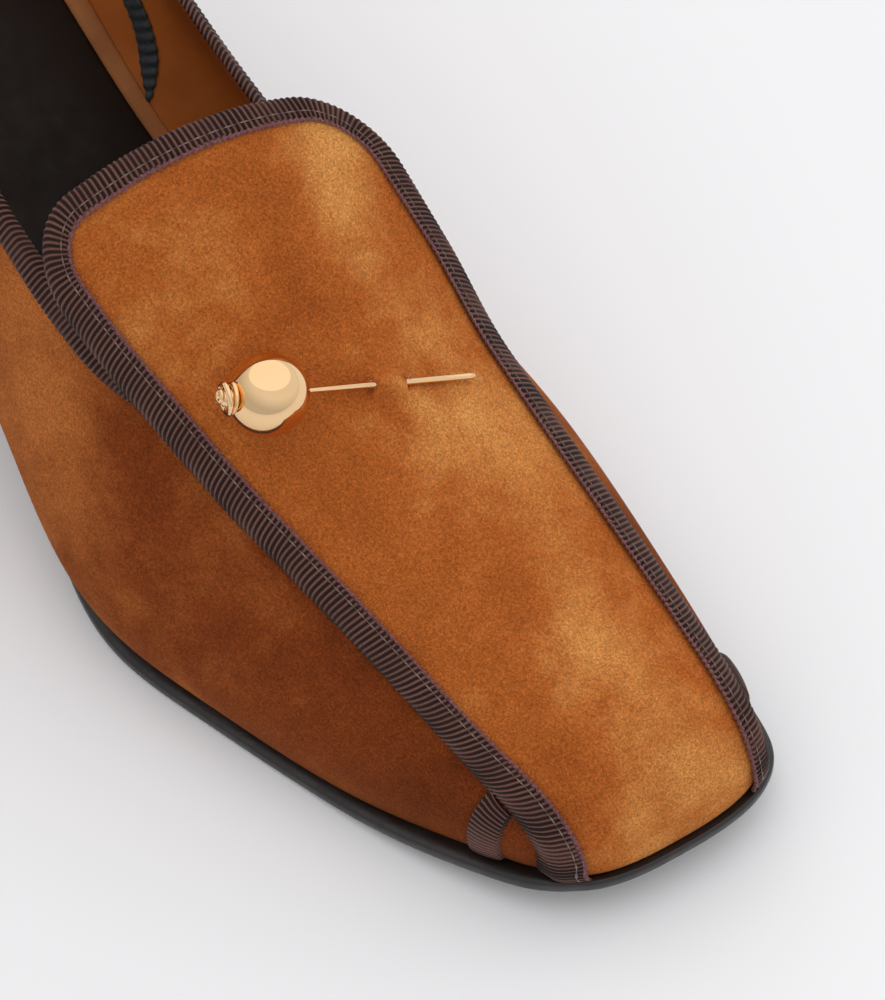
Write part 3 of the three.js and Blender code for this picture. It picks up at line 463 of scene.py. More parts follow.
def suede_material(name, dark, middle, light):
    """Brushed suede: brush marks and painted light and shade held by an attribute, cloudy patches and a short
    speckled nap.
    """
    material, tree, shader = new_material(
        name, Roughness=0.95, Sheen_Weight=0.12, Sheen_Roughness=0.5, Specular_IOR_Level=0.08,
    )
    shader.inputs["Sheen Tint"].default_value = linear("#e0a060")
    where = add(tree, "ShaderNodeTexCoord").outputs["Object"]
    brush_and_painted_light = add(tree, "ShaderNodeAttribute", attribute_name="brush_and_painted_light").outputs["Fac"]
    clouds = noise(tree, where, 46, 4, 0.6, 0.5)
    patches = noise(tree, where, 170, 4, 0.65, 0.3)
    grain = noise(tree, where, 2100, 3, 0.75)
    specks = noise(tree, where, 4300, 2, 0.6)
    mixed = add(tree, "ShaderNodeMath", {0: clouds, 1: 0.56, 2: brush_and_painted_light}, operation="MULTIPLY_ADD").outputs[0]
    tone = add(tree, "ShaderNodeMath", {0: patches, 1: 0.26, 2: mixed}, operation="MULTIPLY_ADD").outputs[0]
    tone = add(tree, "ShaderNodeMath", {0: tone, 1: 0.09}, operation="ADD").outputs[0]
    base = ramp(tree, tone, [(0.2, dark), (0.5, middle), (0.8, light)])
    nap = ramp(tree, grain, [(0.32, 0.58), (0.5, 0.98), (0.7, 1.5)])
    tips = ramp(tree, specks, [(0.34, 0.66), (0.5, 1.0), (0.68, 1.45)])
    base = shaded(tree, 0.8, base, nap)
    base = shaded(tree, 0.6, base, tips)
    tree.links.new(base, shader.inputs["Base Color"])
    fine = add(tree, "ShaderNodeBump", {"Height": specks, "Strength": 0.4, "Distance": 0.00018})
    coarse = add(tree, "ShaderNodeBump", {
        "Height": grain, "Strength": 0.4, "Distance": 0.0003, "Normal": fine.outputs["Normal"],
    })
    tree.links.new(coarse.outputs["Normal"], shader.inputs["Normal"])
    return material


def ribbon_material(name):
    """Grosgrain: ribs across the ribbon, which runs along U in centimetres."""
    material, tree, shader = new_material(
        name, Roughness=0.75, Sheen_Weight=0.05, Sheen_Roughness=0.5, Specular_IOR_Level=0.2,
    )
    uv = add(tree, "ShaderNodeTexCoord").outputs["UV"]
    where = add(tree, "ShaderNodeTexCoord").outputs["Object"]
    split = add(tree, "ShaderNodeSeparateXYZ", {"Vector": uv})
    turns = {0: split.outputs["X"], 1: 20 * math.pi / RIB_PITCH}
    turn = add(tree, "ShaderNodeMath", turns, operation="MULTIPLY")
    wave = add(tree, "ShaderNodeMath", {0: turn.outputs[0]}, operation="COSINE")
    halved = {0: wave.outputs[0], 1: 0.5, 2: 0.5}
    rib = add(tree, "ShaderNodeMath", halved, operation="MULTIPLY_ADD").outputs[0]
    yarn = noise(tree, where, 3200, 2, 0.6)
    # Rib tops painted lighter and grooves painted darker: painted highlight and painted shade over the raised
    # ribs
    base = ramp(tree, rib, [(0.0, "#190c09"), (0.4, "#301a15"), (0.66, "#4c2e27"), (0.94, "#704d43")])
    twist = ramp(tree, yarn, [(0.3, 0.75), (0.5, 1.0), (0.72, 1.3)])
    base = shaded(tree, 0.6, base, twist)
    tree.links.new(base, shader.inputs["Base Color"])
    bump = add(tree, "ShaderNodeBump", {"Height": rib, "Strength": 0.6, "Distance": 0.0002})
    fuzz = add(tree, "ShaderNodeBump", {
        "Height": yarn, "Strength": 0.4, "Distance": 0.00012, "Normal": bump.outputs["Normal"],
    })
    tree.links.new(fuzz.outputs["Normal"], shader.inputs["Normal"])
    return material


def leather_material(name, dark, light, roughness, coat=0.0, grain=700.0, depth=0.00012, gloss=0.5):
    material, tree, shader = new_material(
        name, Roughness=roughness, Coat_Weight=coat, Coat_Roughness=0.2, Specular_IOR_Level=gloss,
    )
    where = add(tree, "ShaderNodeTexCoord").outputs["Object"]
    clouds = noise(tree, where, 60, 3, 0.5)
    pores = add(tree, "ShaderNodeTexVoronoi", {"Vector": where, "Scale": grain}, feature="DISTANCE_TO_EDGE")
    tree.links.new(ramp(tree, clouds, [(0.3, dark), (0.7, light)]), shader.inputs["Base Color"])
    wear = noise(tree, where, 300, 3, 0.6)
    rough = ramp(tree, wear, [(0.3, roughness * 0.8), (0.7, min(roughness * 1.25, 1))])
    tree.links.new(rough, shader.inputs["Roughness"])
    height = pores.outputs["Distance"]
    bump = add(tree, "ShaderNodeBump", {"Height": height, "Strength": 0.3, "Distance": depth})
    tree.links.new(bump.outputs["Normal"], shader.inputs["Normal"])
    return material


def gold_material(name, dark, light):
    material, tree, shader = new_material(name, Metallic=1.0, Roughness=0.07)
    where = add(tree, "ShaderNodeTexCoord").outputs["Object"]
    tone = noise(tree, where, 90, 2, 0.5)
    tree.links.new(ramp(tree, tone, [(0.3, dark), (0.7, light)]), shader.inputs["Base Color"])
    haze = ramp(tree, noise(tree, where, 500, 3, 0.6), [(0.35, 0.04), (0.7, 0.07)])
    tree.links.new(haze, shader.inputs["Roughness"])
    return material


def thread_material(name, dark, light):
    material, tree, shader = new_material(name, Roughness=0.6, Sheen_Weight=0.2)
    where = add(tree, "ShaderNodeTexCoord").outputs["Object"]
    twist = noise(tree, where, 2400, 2, 0.6)
    tree.links.new(ramp(tree, twist, [(0.3, dark), (0.7, light)]), shader.inputs["Base Color"])
    bump = add(tree, "ShaderNodeBump", {"Height": twist, "Strength": 0.4, "Distance": 0.0001})
    tree.links.new(bump.outputs["Normal"], shader.inputs["Normal"])
    return material


# Brushed calf suede: soft and matt, with lighter and darker marks, partly brush marks and partly painted
# light and shade, and a short nap
# The quarter's suede is a darker copy of the apron's: painted shade of the near side, which faces away from
# the light. The heel's suede takes the same darker colours.
QUARTER_SUEDE_PAINTED_SHADE = suede_material("brushed_suede_quarter_painted_shade", "#511f0a", "#7c3a17", "#ac632f")
HEEL_SUEDE_PAINTED_SHADE = suede_material("brushed_suede_heel_painted_shade", "#511f0a", "#7c3a17", "#ac632f")
APRON_SUEDE = suede_material("brushed_suede_apron", "#884114", "#ad5d27", "#d6934f")
# Nap pulled loose at the holes: pale, thin and curled
FIBRE = thread_material("loose_suede_fibre", "#b58a5c", "#e6cdb0")
# Grosgrain: raised ribs, with a painted highlight on their tops and painted shade in the dark grooves, and a
# looped, reddish selvedge
GROSGRAIN = ribbon_material("grosgrain_ribbon")
PICOT = thread_material("ribbon_selvedge_yarn", "#471c1f", "#864d50")
# Polyester thread: a broken line of small pale stitches
STITCH = thread_material("sewing_thread", "#4d3833", "#8f766d")
# Burnished leather edge: near black, with a soft sheen
SOLE_EDGE = leather_material("burnished_sole_edge", "#0d0908", "#1d1512", 0.42, 0.1, 700, 0.00015)
# Moulded rubber: dull black
RUBBER = leather_material("moulded_rubber", "#141212", "#1f1c1b", 0.7)
# Smooth vegetable-tanned lining, matt; the insole's edge is the same leather, coarser
LINING = leather_material("tan_lining_leather", "#a2561c", "#bd6a28", 0.7, 0.0, 1100, 0.00005, 0.3)
BOARD = leather_material("tan_insole_leather", "#94562a", "#c07f45", 0.6, 0.0, 500, 0.00015)
# Dyed kid leather: smooth, almost black brown
SOCK = leather_material("black_sock_leather", "#180e08", "#23160f", 0.42, 0.0, 900, 0.00004, 0.15)
# Pleated ribbon, blue black
TRIM_YARN = thread_material("pleated_trim_cloth", "#10181c", "#2a3a41")
# Polished plating: pale warm gold that mirrors the room
GOLD = gold_material("polished_rose_gold", "#eec592", "#f2cd9e")


# The upper: the outside, and the lining inside it
def upper_rows(grow, count):
    xs = stations(26, 96, 22)
    xs = xs[(xs < COLLAR_JOIN - 1) | (xs > THROAT + 1)]
    throat = COLLAR_JOIN + (THROAT - COLLAR_JOIN) * np.sin(np.linspace(0, np.pi / 2, 16))
    xs = np.sort(np.concatenate([xs, throat]))
    rows = {}
    for side in (OUTER, INNER):
        rows[side] = [
            spaced(leg(x, side, grow, collar_height(x, side, grow) if x < THROAT - 1e-6 else None), count)
            for x in xs
        ]
    return np.array(rows[OUTER][::-1] + rows[INNER][1:]), np.concatenate([xs[::-1], xs[1:]])


def quarter_relief(points):
    """Soft hollows and swells of the suede, pulled over the last."""
    x, y, z = points[..., 0], points[..., 1], points[..., 2] - seat(points[..., 0])
    near = ease((-y - 5) / 15)
    swell = 0.5 * np.sin((x + 0.9 * z) / 11.0) * np.sin((z - 0.25 * x) / 9.0)
    return near * swell * 0.5


outside, upper_x = upper_rows(0.0, 64)
outside = outside + outward(outside) * quarter_relief(outside)[..., None] * 0.6
# The lining is skived thin toward the rim of the open part
inside, thin = upper_rows(-UPPER_WALL, 40)[0], upper_rows(-0.45, 40)[0]
toward_rim = ease((np.linspace(0, 1, 41)[None, :] - 0.72) / 0.26) * ease((THROAT - upper_x[:, None]) / 10)
inside = mix(inside, thin, toward_rim[..., None])
upper = sheet("upper_suede", outside, QUARTER_SUEDE_PAINTED_SHADE, flip=True)
# Marks on the upper: partly the suede's own brush marks, partly painted light and shade, lighter towards the
# heel and darker towards the toe on the near side.
brush_and_painted_light_marks(upper, [
    (116, -32, 19, 14, 0, 0.26), (134, -35, 12, 5, -15, 0.12),
    (158, -42.5, 16, 3.5, 0, 0.1), (150, -34, 9, 4, 0, -0.05),
    (190, -30, 14, 6, 10, -0.06), (214, -26, 18, 8, 20, -0.13),
    (176, -36, 8, 3, 5, -0.04), (232, -20, 10, 6, 40, -0.1),
    (100, 30, 20, 12, 0, 0.06), (40, -30, 26, 9, 0, 0.08),
    (70, 30, 22, 9, 0, -0.05), (160, 34, 20, 9, 0, 0.07),
    (10, 0, 12, 24, 0, 0.05), (205, 32, 16, 8, -15, -0.05),
])
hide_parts("upper")
sheet("upper_lining", inside, LINING)


# The sole and the boards inside
def loops_along(xs, profile):
    """Closed loops round a layer: profile(x, side) gives points down one side's edge."""
    rows = []
    for x in xs:
        a, b = profile(x, OUTER), profile(x, INNER)
        rows.append(np.concatenate([a, b[::-1], a[:1]]))
    return np.array(rows)


def sole_extension(x):
    share = x / LENGTH
    return mix(mix(0.6, 2.1, ease((share - 0.42) / 0.16)), 3.6, ease((share - 0.78) / 0.18))


def sole_edge(x, side):
    across = [0.0, 0.35, 0.7, 0.92]
    edge = [(0.45, -GAP), (0.12, -GAP - 0.25), (0.0, -GAP - 0.7), (0.0, -SOLE + 1.0), (0.16, -SOLE + 0.5),
            (0.5, -SOLE + 0.15), (0.9, -SOLE)]
    points = []
    for share in across:
        g = sole_extension(x) - 0.45
        p = grown(x, g)
        points.append(placed(p, side * half_width(p, 0, side, g) * share, -GAP))
    for inset, height in edge:
        g = sole_extension(x) - inset
        p = grown(x, g)
        points.append(placed(p, side * half_width(p, 0, side, g), height))
    for share in across[::-1]:
        g = sole_extension(x) - 0.9
        p = grown(x, g)
        points.append(placed(p, side * half_width(p, 0, side, g) * share, -SOLE))
    return np.array(points)


sole_rows = loops_along(stations(20, 90, 24), sole_edge)
outsole = sheet("outsole_leather", sole_rows, SOLE_EDGE, close=True)
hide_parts("outsole")


def board(low, high, inset, toe_clearance, round_edge, waist=0.0):
    end = LENGTH - UPPER_WALL - 0.5 - toe_clearance
    rows = []
    for x in stations(20, 90, 20) * end / LENGTH:
        tip = np.clip((x - end + TOE_ROUNDING) / TOE_ROUNDING, 0, 1)
        narrow = (1 - tip**3.2) ** (1 / 2.6)
        sides = []
        for side in (OUTER, INNER):
            grow = -UPPER_WALL - 0.5 - inset
            p = grown(x, grow)
            if side == INNER:
                grow -= waist * ease((x - 40) / 25) * (1 - ease((x - 100) / 25))
            points = []
            for share in (0.0, 0.25, 0.5, 0.75, 0.94):
                points.append(placed(p, side * half_width(p, high, side, grow) * narrow * share, high))
            for t in np.linspace(0, np.pi / 2, 4):
                w = half_width(p, high, side, grow) * narrow - round_edge * (1 - math.sin(t))
                points.append(placed(p, side * max(w, 0), high - round_edge * (1 - math.cos(t))))
            points.append(placed(p, side * half_width(p, low, side, grow) * narrow, low))
            sides.append(np.array(points))
        rows.append(np.concatenate([sides[0][::-1], sides[1][1:]]))
    return np.array(rows)


insole = sheet("insole_board", board(0.0, 1.8, 0.0, 7.0, 0.5), BOARD)
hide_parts("insole")
sock = sheet("sock_lining", board(2.1, 3.1, 2.0, 9.0, 0.45, 3.2), SOCK)
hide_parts("sock")


# The heel block under the seat, and its top piece
SEAT_BACK, SEAT_FRONT = 1.6, 56.0
TIP_BACK, TIP_FRONT, TIP_HALF = 6.0, 44.0, 18.0
TOP_PIECE = 5.0


def heel_outline(along, side, level):
    """Place on the heel's side wall: share of its length, side, and share of its height down."""
    bend = 1 - (1 - level) ** 1.5
    seat_x = mix(SEAT_BACK, SEAT_FRONT, along)
    seat_y = half_width(mix(-0.6, SEAT_FRONT, along), 0, side, 0.6) - 0.8
    tip_x = mix(TIP_BACK, TIP_FRONT, along)
    tip_y = TIP_HALF * np.sqrt(1 - (1 - np.clip(along / 0.5, 0, 1)) ** 2)
    return mix(seat_x, tip_x, bend), side * mix(max(seat_y, 0), tip_y, bend), seat_x


def heel_rows():
    rows = []
    shares = 1 - np.cos(np.linspace(0, np.pi / 2, 40))
    for level in np.linspace(0, 1, 40):
        ring = []
        for side, order in ((OUTER, shares[::-1]), (INNER, shares[1:])):
            for along in order:
                x, y, seat_x = heel_outline(along, side, level)
                ring.append((x, y, mix(seat(seat_x) - SOLE - GAP, TOP_PIECE + GAP, level)))
        a, b = np.array(ring[-1]), np.array(ring[0])
        for t in np.linspace(0, 1, 9)[1:]:
            x, y, z = mix(a, b, t)
            ring.append((x - 1.6 * math.sin(math.pi * t) * math.sin(math.pi * min(level * 1.1, 1)), y, z))
        rows.append(ring)
    return np.array(rows)


heel = sheet("heel_cover", heel_rows(), HEEL_SUEDE_PAINTED_SHADE, flip=True)
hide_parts("heel")
brush_and_painted_light_marks(heel, [
    (10, -14, 14, 8, 20, 0.08), (34, 16, 16, 8, -10, -0.07),
    (26, -18, 8, 10, 0, -0.05), (6, 8, 10, 10, 0, 0.06),
])


def top_piece_rows():
    shares = 1 - np.cos(np.linspace(0, np.pi / 2, 40))
    outline = []
    for side, order in ((OUTER, shares[::-1]), (INNER, shares[1:])):
        outline += [heel_outline(along, side, 1)[:2] for along in order]
    outline = np.array(outline + [outline[0]])
    centre = np.array([24.0, 0.0])
    rows = []
    foot = ((0.0, 0.0), (0.96, 0.0), (0.985, 0.15), (1.0, 0.6))
    head = [(share, TOP_PIECE - z) for share, z in foot[::-1]]
    for share, z in (*foot, *head):
        flat = centre + (outline - centre) * share
        rows.append(np.column_stack([flat, np.full(len(flat), float(z))]))
    return np.array(rows)


top_piece = sheet("heel_top_rubber", top_piece_rows(), RUBBER, close=True)
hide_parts("heel_top_piece")


# The apron, whose rows run from the free end of the tongue over the toe down to the seat
def apron_rows(level, across, along):
    xs = np.concatenate([
        TONGUE_TOP + TONGUE_CORNER * np.linspace(0, 1, 26) ** 2,
        np.linspace(TONGUE_TOP + TONGUE_CORNER, FOLD_START, along)[1:-1],
    ])
    rows = []
    for x in xs:
        sides = {}
        for side in (OUTER, INNER):
            shares = np.linspace(0, 1, across + 1)
            sides[side] = crossing(apron_leg(x, side, level), apron_half(x, side) * shares)
        rows.append(np.concatenate([sides[OUTER][::-1], sides[INNER][1:]]))
    lines = []
    for side, order in ((OUTER, range(across, 0, -1)), (INNER, range(across + 1))):
        for i in order:
            lines.append(fold_line(side, lambda x: apron_half(x, side) * i / across, level, 96))
    return np.concatenate([np.array(rows), np.array(lines).transpose(1, 0, 2)])


def pin_points():
    """Centre of the ball, the bridge's middle, and the direction and facing of the rod."""
    def facing(x, y):
        along = apron_at(x + 1, y, APRON_WALL) - apron_at(x - 1, y, APRON_WALL)
        side = apron_at(x, y + 1, APRON_WALL) - apron_at(x, y - 1, APRON_WALL)
        n = np.cross(along, side)
        return n / np.linalg.norm(n)

    def on_apron(x, y, height):
        return apron_at(x, y, APRON_WALL) + facing(x, y) * height

    ball = on_apron(*PIN_BALL, BALL_RADIUS + GAP)
    bridge = on_apron(*PIN_BRIDGE, ROD_RADIUS + 2 * GAP)
    direction = bridge - ball
    return ball, bridge, direction / np.linalg.norm(direction), facing(*PIN_BRIDGE)


ball_centre, bridge, rod_way, bridge_up = pin_points()
bridge_side = np.cross(rod_way, bridge_up)
bridge_side /= np.linalg.norm(bridge_side)


BRIDGE_HALF = 3.2
BRIDGE_WIDTH = 2.3
BRIDGE_LIFT = 2.05
HOLE_AWAY = 3.25
# Folds round the bridge as (x, y, x, y, depth, width) in plan; a negative depth is a ridge
FOLDS = [
    (156.3, 2.5, 163.6, 2.9, 0.34, 0.8), (156.3, 2.5, 155.6, -2.2, 0.2, 0.9),
    (165.0, -0.6, 166.6, 2.2, 0.3, 0.9),
    (169.4, 7.2, 176.6, 9.4, -0.42, 1.5), (167.5, 1.4, 172.4, 3.4, 0.36, 0.9),
    (163.5, 4.6, 159.0, 8.0, -0.26, 1.6),
    (171.0, 11.0, 175.0, 16.0, 0.24, 1.2), (172.0, 4.6, 178.0, 5.6, -0.2, 1.6),
    (162.0, 0.6, 158.0, -2.5, -0.18, 1.3),
    (146.0, -8.0, 151.0, -3.0, -0.15, 2.2), (190.0, 2.0, 197.0, 8.0, 0.14, 2.4),
    (181.0, -9.0, 190.0, -6.0, -0.16, 2.6),
    (208.0, 4.0, 216.0, 9.0, -0.14, 2.6), (134.0, 6.0, 141.0, 12.0, -0.16, 2.4),
    (205.0, -9.0, 214.0, -7.0, 0.14, 2.2),
]


def apron_relief(points):
    """The bridge over the rod and the soft folds round it."""
    from_bridge = points - bridge
    along, side = from_bridge @ rod_way, from_bridge @ bridge_side
    across = np.exp(-((side / BRIDGE_WIDTH) ** 2))
    dome = np.clip(1 - (along / BRIDGE_HALF) ** 6, 0, 1) ** 0.6 * across
    lift = BRIDGE_LIFT * dome + 0.35 * np.exp(-((along / 5.5) ** 2) - (side / 5.0) ** 2)
    x, y = points[..., 0], points[..., 1]
    for x0, y0, x1, y1, depth, width in FOLDS:
        dx, dy = x1 - x0, y1 - y0
        t = np.clip(((x - x0) * dx + (y - y0) * dy) / (dx * dx + dy * dy), 0, 1)
        away = np.hypot(x - x0 - t * dx, y - y0 - t * dy)
        lift -= depth * np.exp(-((away / width) ** 2)) * (0.3 + 0.7 * np.sin(math.pi * t))
    return lift


apron_top = apron_rows(APRON_WALL, 72, 110)
apron_top = apron_top + outward(apron_top) * apron_relief(apron_top)[..., None]
apron = sheet("apron_suede", apron_top, APRON_SUEDE)
HOLES = [bridge + rod_way * HOLE_AWAY * k for k in (-1, 1)]
# Marks on the apron: partly the suede's own brush marks, partly painted light and shade, lighter towards the
# inner side and darker towards the outer side.
brush_and_painted_light_marks(apron, [
    (135, 19, 9, 7, -20, 0.27), (144.7, 15.8, 8, 5, -30, 0.12),
    (152, 0, 9, 8, 0, -0.08), (172, -11, 13, 7, 0, -0.11),
    (131, -9, 8, 7, 0, -0.07), (175, 13.5, 7, 11, 10, 0.19),
    (164, 14.5, 6, 5, 20, 0.1), (216, 7, 10, 7, 0, 0.18),
    (235, 8.5, 10, 7, 10, 0.17), (236, -3.5, 7, 5, 0, 0.12),
    (187, 16, 9, 5, 10, 0.11), (202, 11.5, 8, 5, 10, 0.09),
    (219.5, -4, 8, 6, 0, 0.07), (232.6, -13.5, 10, 5, -10, -0.12),
    (159, -2, 6, 5, 0, -0.03), (143, -19, 9, 5, 10, -0.04),
    # Lighter on the ridge beside the bridge: painted highlight.
    (172, 8, 3.2, 2.2, 25, 0.12), (168.5, 6.5, 2.2, 1.6, 60, 0.12),
    # The first mark here, darker along the fold under the bridge: painted shade.
    (171, 2.6, 4, 1.6, 20, -0.12), (160, 3.6, 4, 1.3, 0, 0.08),
    (200, -3, 7, 5, 40, -0.03), (190, 4, 6, 4, 60, 0.05),
    (152, 12, 6, 4, -40, 0.05), (137, 3, 5, 5, 0, -0.05),
    # Dark spots at the two holes: painted shade.
    *[(h[0], h[1], 0.75, 0.6, 63, -0.5) for h in HOLES],
])
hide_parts("apron")
sheet("apron_lining", apron_rows(0.0, 16, 40), LINING, flip=True)


# Ribbons
def free_edge():
    """Plan points and inward directions round the tongue's end."""
    halves = {}
    for side in (OUTER, INNER):
        xs = np.concatenate([
            TONGUE_TOP + TONGUE_CORNER * np.linspace(0, 1, 80) ** 2,
            np.linspace(TONGUE_TOP + TONGUE_CORNER, FOLD_START, 60)[1:],
        ])
        halves[side] = np.array([(x, side * apron_half(x, side), 0) for x in xs])
    line = np.concatenate([halves[OUTER][::-1], halves[INNER]])
    count = int(np.linalg.norm(np.diff(line, axis=0), axis=1).sum() * RIBS / RIB_PITCH * 1.06)
    points = spaced(line, count)
    tangent = np.gradient(points, axis=0)
    tangent /= np.linalg.norm(tangent, axis=1, keepdims=True)
    inward = np.stack([tangent[:, 1], -tangent[:, 0], 0 * tangent[:, 0]], -1)
    return points[1:-1], inward[1:-1]


RIBS = 5
EDGE_POINTS, EDGE_INWARD = free_edge()


def along_apron_edge(ring, close=True):
    """Rings along the apron's edge, for a ring of (distance inward, level) pairs."""
    folds = {}
    for side in (OUTER, INNER):
        lines = []
        for inward, level in ring:
            lines.append(fold_line(
                side, lambda x: apron_half(x, side) - inward * PLAN_SHARE, level, int(82 * RIBS / RIB_PITCH)
            ))
        folds[side] = np.array(lines).transpose(1, 0, 2)
    free = []
    for point, way in zip(EDGE_POINTS, EDGE_INWARD):
        free.append([apron_at(*(point + way * inward * PLAN_SHARE)[:2], level) for inward, level in ring])
    rows = np.concatenate([folds[OUTER][::-1], np.array(free), folds[INNER]])
    return np.concatenate([rows, rows[:, :1]], 1) if close else rows


def ribs_on(rows, depth, pitch=RIB_PITCH):
    """Raises ribs across a ribbon's rows; the ribs follow its running length."""
    run = lengths_along(rows).mean(1)
    wave = depth * np.cos(2 * np.pi * run / pitch)
    return rows + outward(rows) * wave[:, None, None]


TOP = APRON_WALL + 0.45
SIDE = -0.45 - RIBBON_THICK
leaf = [(RIBBON, TOP), (RIBBON, TOP + 0.35), (RIBBON - 0.25, TOP + 0.6)]
leaf += [(w, TOP + 0.66) for w in np.linspace(RIBBON - 0.8, 0.6, 7)]
leaf += [(0.0, TOP + 0.6), (SIDE * 0.6, TOP + 0.32), (SIDE * 0.95, TOP - 0.1), (SIDE, TOP - 0.7)]
leaf += [(SIDE, 0.2), (SIDE + 0.4, 0.2)]
apron_ribbon = sheet(
    "apron_ribbon", ribs_on(along_apron_edge(leaf, close=False), 0.11), GROSGRAIN, flip=True,
)
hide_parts("apron_binding")


def cord_ring(inward, level, radius, count=8):
    angles = np.linspace(0, 2 * np.pi, count, endpoint=False)
    return [(inward + radius * math.cos(a), level + radius * math.sin(a)) for a in angles]


def pulsed(rows, pitch, low, high):
    """Swells and thins a closed cord along its length, for loops of yarn."""
    centre = rows[:, :-1].mean(1, keepdims=True)
    run = lengths_along(rows).mean(1)
    size = mix(low, high, 0.5 + 0.5 * np.cos(2 * np.pi * run / pitch))
    return centre + (rows - centre) * size[:, None, None]


picot = along_apron_edge(cord_ring(RIBBON + 0.15, TOP + 0.3, 0.42))
sheet("ribbon_selvedge", pulsed(picot, RIB_PITCH, 0.4, 1.15), PICOT, close=True)
stitch = along_apron_edge(cord_ring(RIBBON - 1.1, TOP + 0.74, 0.11, 6))
sheet("binding_thread", pulsed(stitch, 2.6, 0.2, 1.1), STITCH, close=True)


def along_collar(ring):
    """Rings round the collar edge, for a ring of (growth, height below the edge) pairs."""
    xs = np.concatenate([stations(90, 420, 2), np.linspace(COLLAR_JOIN, COLLAR_END, 16)])
    xs = np.sort(xs[xs <= COLLAR_END])
    sides = {}
    for side in (OUTER, INNER):
        sides[side] = [
            [last_point(x, collar_height(x, side) - down, side, grow) for grow, down in ring] for x in xs
        ]
    return np.array(sides[OUTER][::-1] + sides[INNER][1:])


# The collar ribbon's outer and inner face, as growth of the last at the rim
OUT = 0.75
IN = -1.1
fold = [(GAP, COLLAR_RIBBON), (OUT, COLLAR_RIBBON)]
fold += [(OUT, d) for d in np.linspace(COLLAR_RIBBON - 0.8, 0.2, 6)]
middle, reach = (OUT + IN) / 2, (OUT - IN) / 2
fold += [(middle + reach * math.cos(a), -0.75 * math.sin(a)) for a in np.linspace(0.3, math.pi - 0.3, 8)]
fold += [(IN, d) for d in np.linspace(0.2, RIBBON_INSIDE - 0.3, 5)] + [(IN + 0.5, RIBBON_INSIDE)]
collar_rows = along_collar(fold)
run = np.linalg.norm(np.diff(collar_rows[:, 8], axis=0), axis=1).sum()
even = [spaced(collar_rows[:, k], int(run * RIBS / RIB_PITCH)) for k in range(collar_rows.shape[1])]
collar_ribbon = sheet(
    "collar_ribbon", ribs_on(np.array(even).transpose(1, 0, 2), 0.1), GROSGRAIN, flip=True,
)
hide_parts("collar_binding")


def tab_rows(side):
    back, front = TABS[side]
    high = GAP + RIBBON_THICK
    tops = []
    xs = LENGTH * np.linspace(back, front, 14)
    for x in xs:
        limit = BALL * apron_edge[side](x / LENGTH) + RIBBON_THICK + 4 * GAP
        height = section(x, side, high)[3]
        while height > 0 and half_width(x, height, side, GAP) < limit:
            height -= 0.1
        tops.append(height + 2.0)
    rows = []
    for t in np.linspace(0, 1, 90):
        outer = [last_point(x, mix(0.1, top, t), side, high + 0.25 * math.sin(math.pi * k / 13))
                 for k, (x, top) in enumerate(zip(xs, tops))]
        first = last_point(xs[0], mix(0.1, tops[0], t), side, 0.0)
        last = last_point(xs[-1], mix(0.1, tops[-1], t), side, 0.0)
        rows.append([first, *outer, last])
    return np.array(rows)


for side, name in ((OUTER, "toe_tab_outer"), (INNER, "toe_tab_inner")):
    ribbed = ribs_on(tab_rows(side), 0.08 * -side)
    tab = sheet(name + "_ribbon", ribbed, GROSGRAIN, flip=side == INNER)
    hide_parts(name)


# The pleated trim low on the inside of the quarters
def trim_rows():
    end = TRIM[-1, 0]
    xs = end * np.linspace(0, 1, 700) ** 0.85
    slope = np.gradient(trim_height(xs), xs)
    sides = {}
    for side in (OUTER, INNER):
        rows = []
        for x, rate in zip(xs, slope):
            steep = math.hypot(1, rate)
            half = 1.65 * float(ease((end + 0.4 - x) / 5.0)) ** 0.6
            ring = []
            for angle in np.linspace(0, 2 * np.pi, 17):
                across = half * math.sin(angle)
                grow = -UPPER_WALL - GAP - 0.35 - 0.35 * math.cos(angle)
                at = max(x - across * rate / steep, 0.0)
                ring.append(last_point(at, trim_height(x) + across / steep, side, grow))
            rows.append(ring)
        sides[side] = rows
    rows = np.array(sides[OUTER][::-1] + sides[INNER][1:])
    even = [spaced(rows[:, k], 1300) for k in range(rows.shape[1])]
    return np.array(even).transpose(1, 0, 2)


heel_trim = sheet("pleated_trim", ribs_on(trim_rows(), 0.13, 2.0), TRIM_YARN, close=True)
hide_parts("heel_trim")


# The ball pin
ROD_BEYOND = 16.0


def lathe(name, profile, origin, direction, material, segments=48):
    """Surface of revolution: profile lists (radius, distance along the axis)."""
    axis = np.asarray(direction) / np.linalg.norm(direction)
    side = np.cross(axis, [0.0, 0.0, 1.0])
    side /= np.linalg.norm(side)
    other = np.cross(axis, side)
    rows = []
    for radius, along in profile:
        angles = np.linspace(0, 2 * np.pi, segments + 1)
        ring = np.cos(angles)[:, None] * side + np.sin(angles)[:, None] * other
        rows.append(origin + axis * along + ring * radius)
    return sheet(name, np.array(rows), material, close=True)


angles = np.linspace(0, np.pi, 49)
ball = lathe(
    "gold_ball", [(BALL_RADIUS * math.sin(a), -BALL_RADIUS * math.cos(a)) for a in angles],
    ball_centre, rod_way, GOLD, 96,
)
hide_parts("pin_ball")
rod_end = np.linalg.norm(bridge - ball_centre) + ROD_BEYOND
rod = lathe(
    "gold_rod",
    [(0, 5.9), (0.9, 5.95), (0.95, 6.5), (ROD_RADIUS, 6.9), (ROD_RADIUS, rod_end - 1.2),
     (ROD_RADIUS * 0.8, rod_end - 0.4), (0, rod_end)],
    ball_centre, rod_way, GOLD, 60,
)
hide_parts("pin_rod")
def loop_profile(radius, tube, flat):
    """Cross-section of a flattened wire loop."""
    return [(radius + tube * math.cos(a), flat * math.sin(a)) for a in np.linspace(0, 2 * np.pi, 17)]


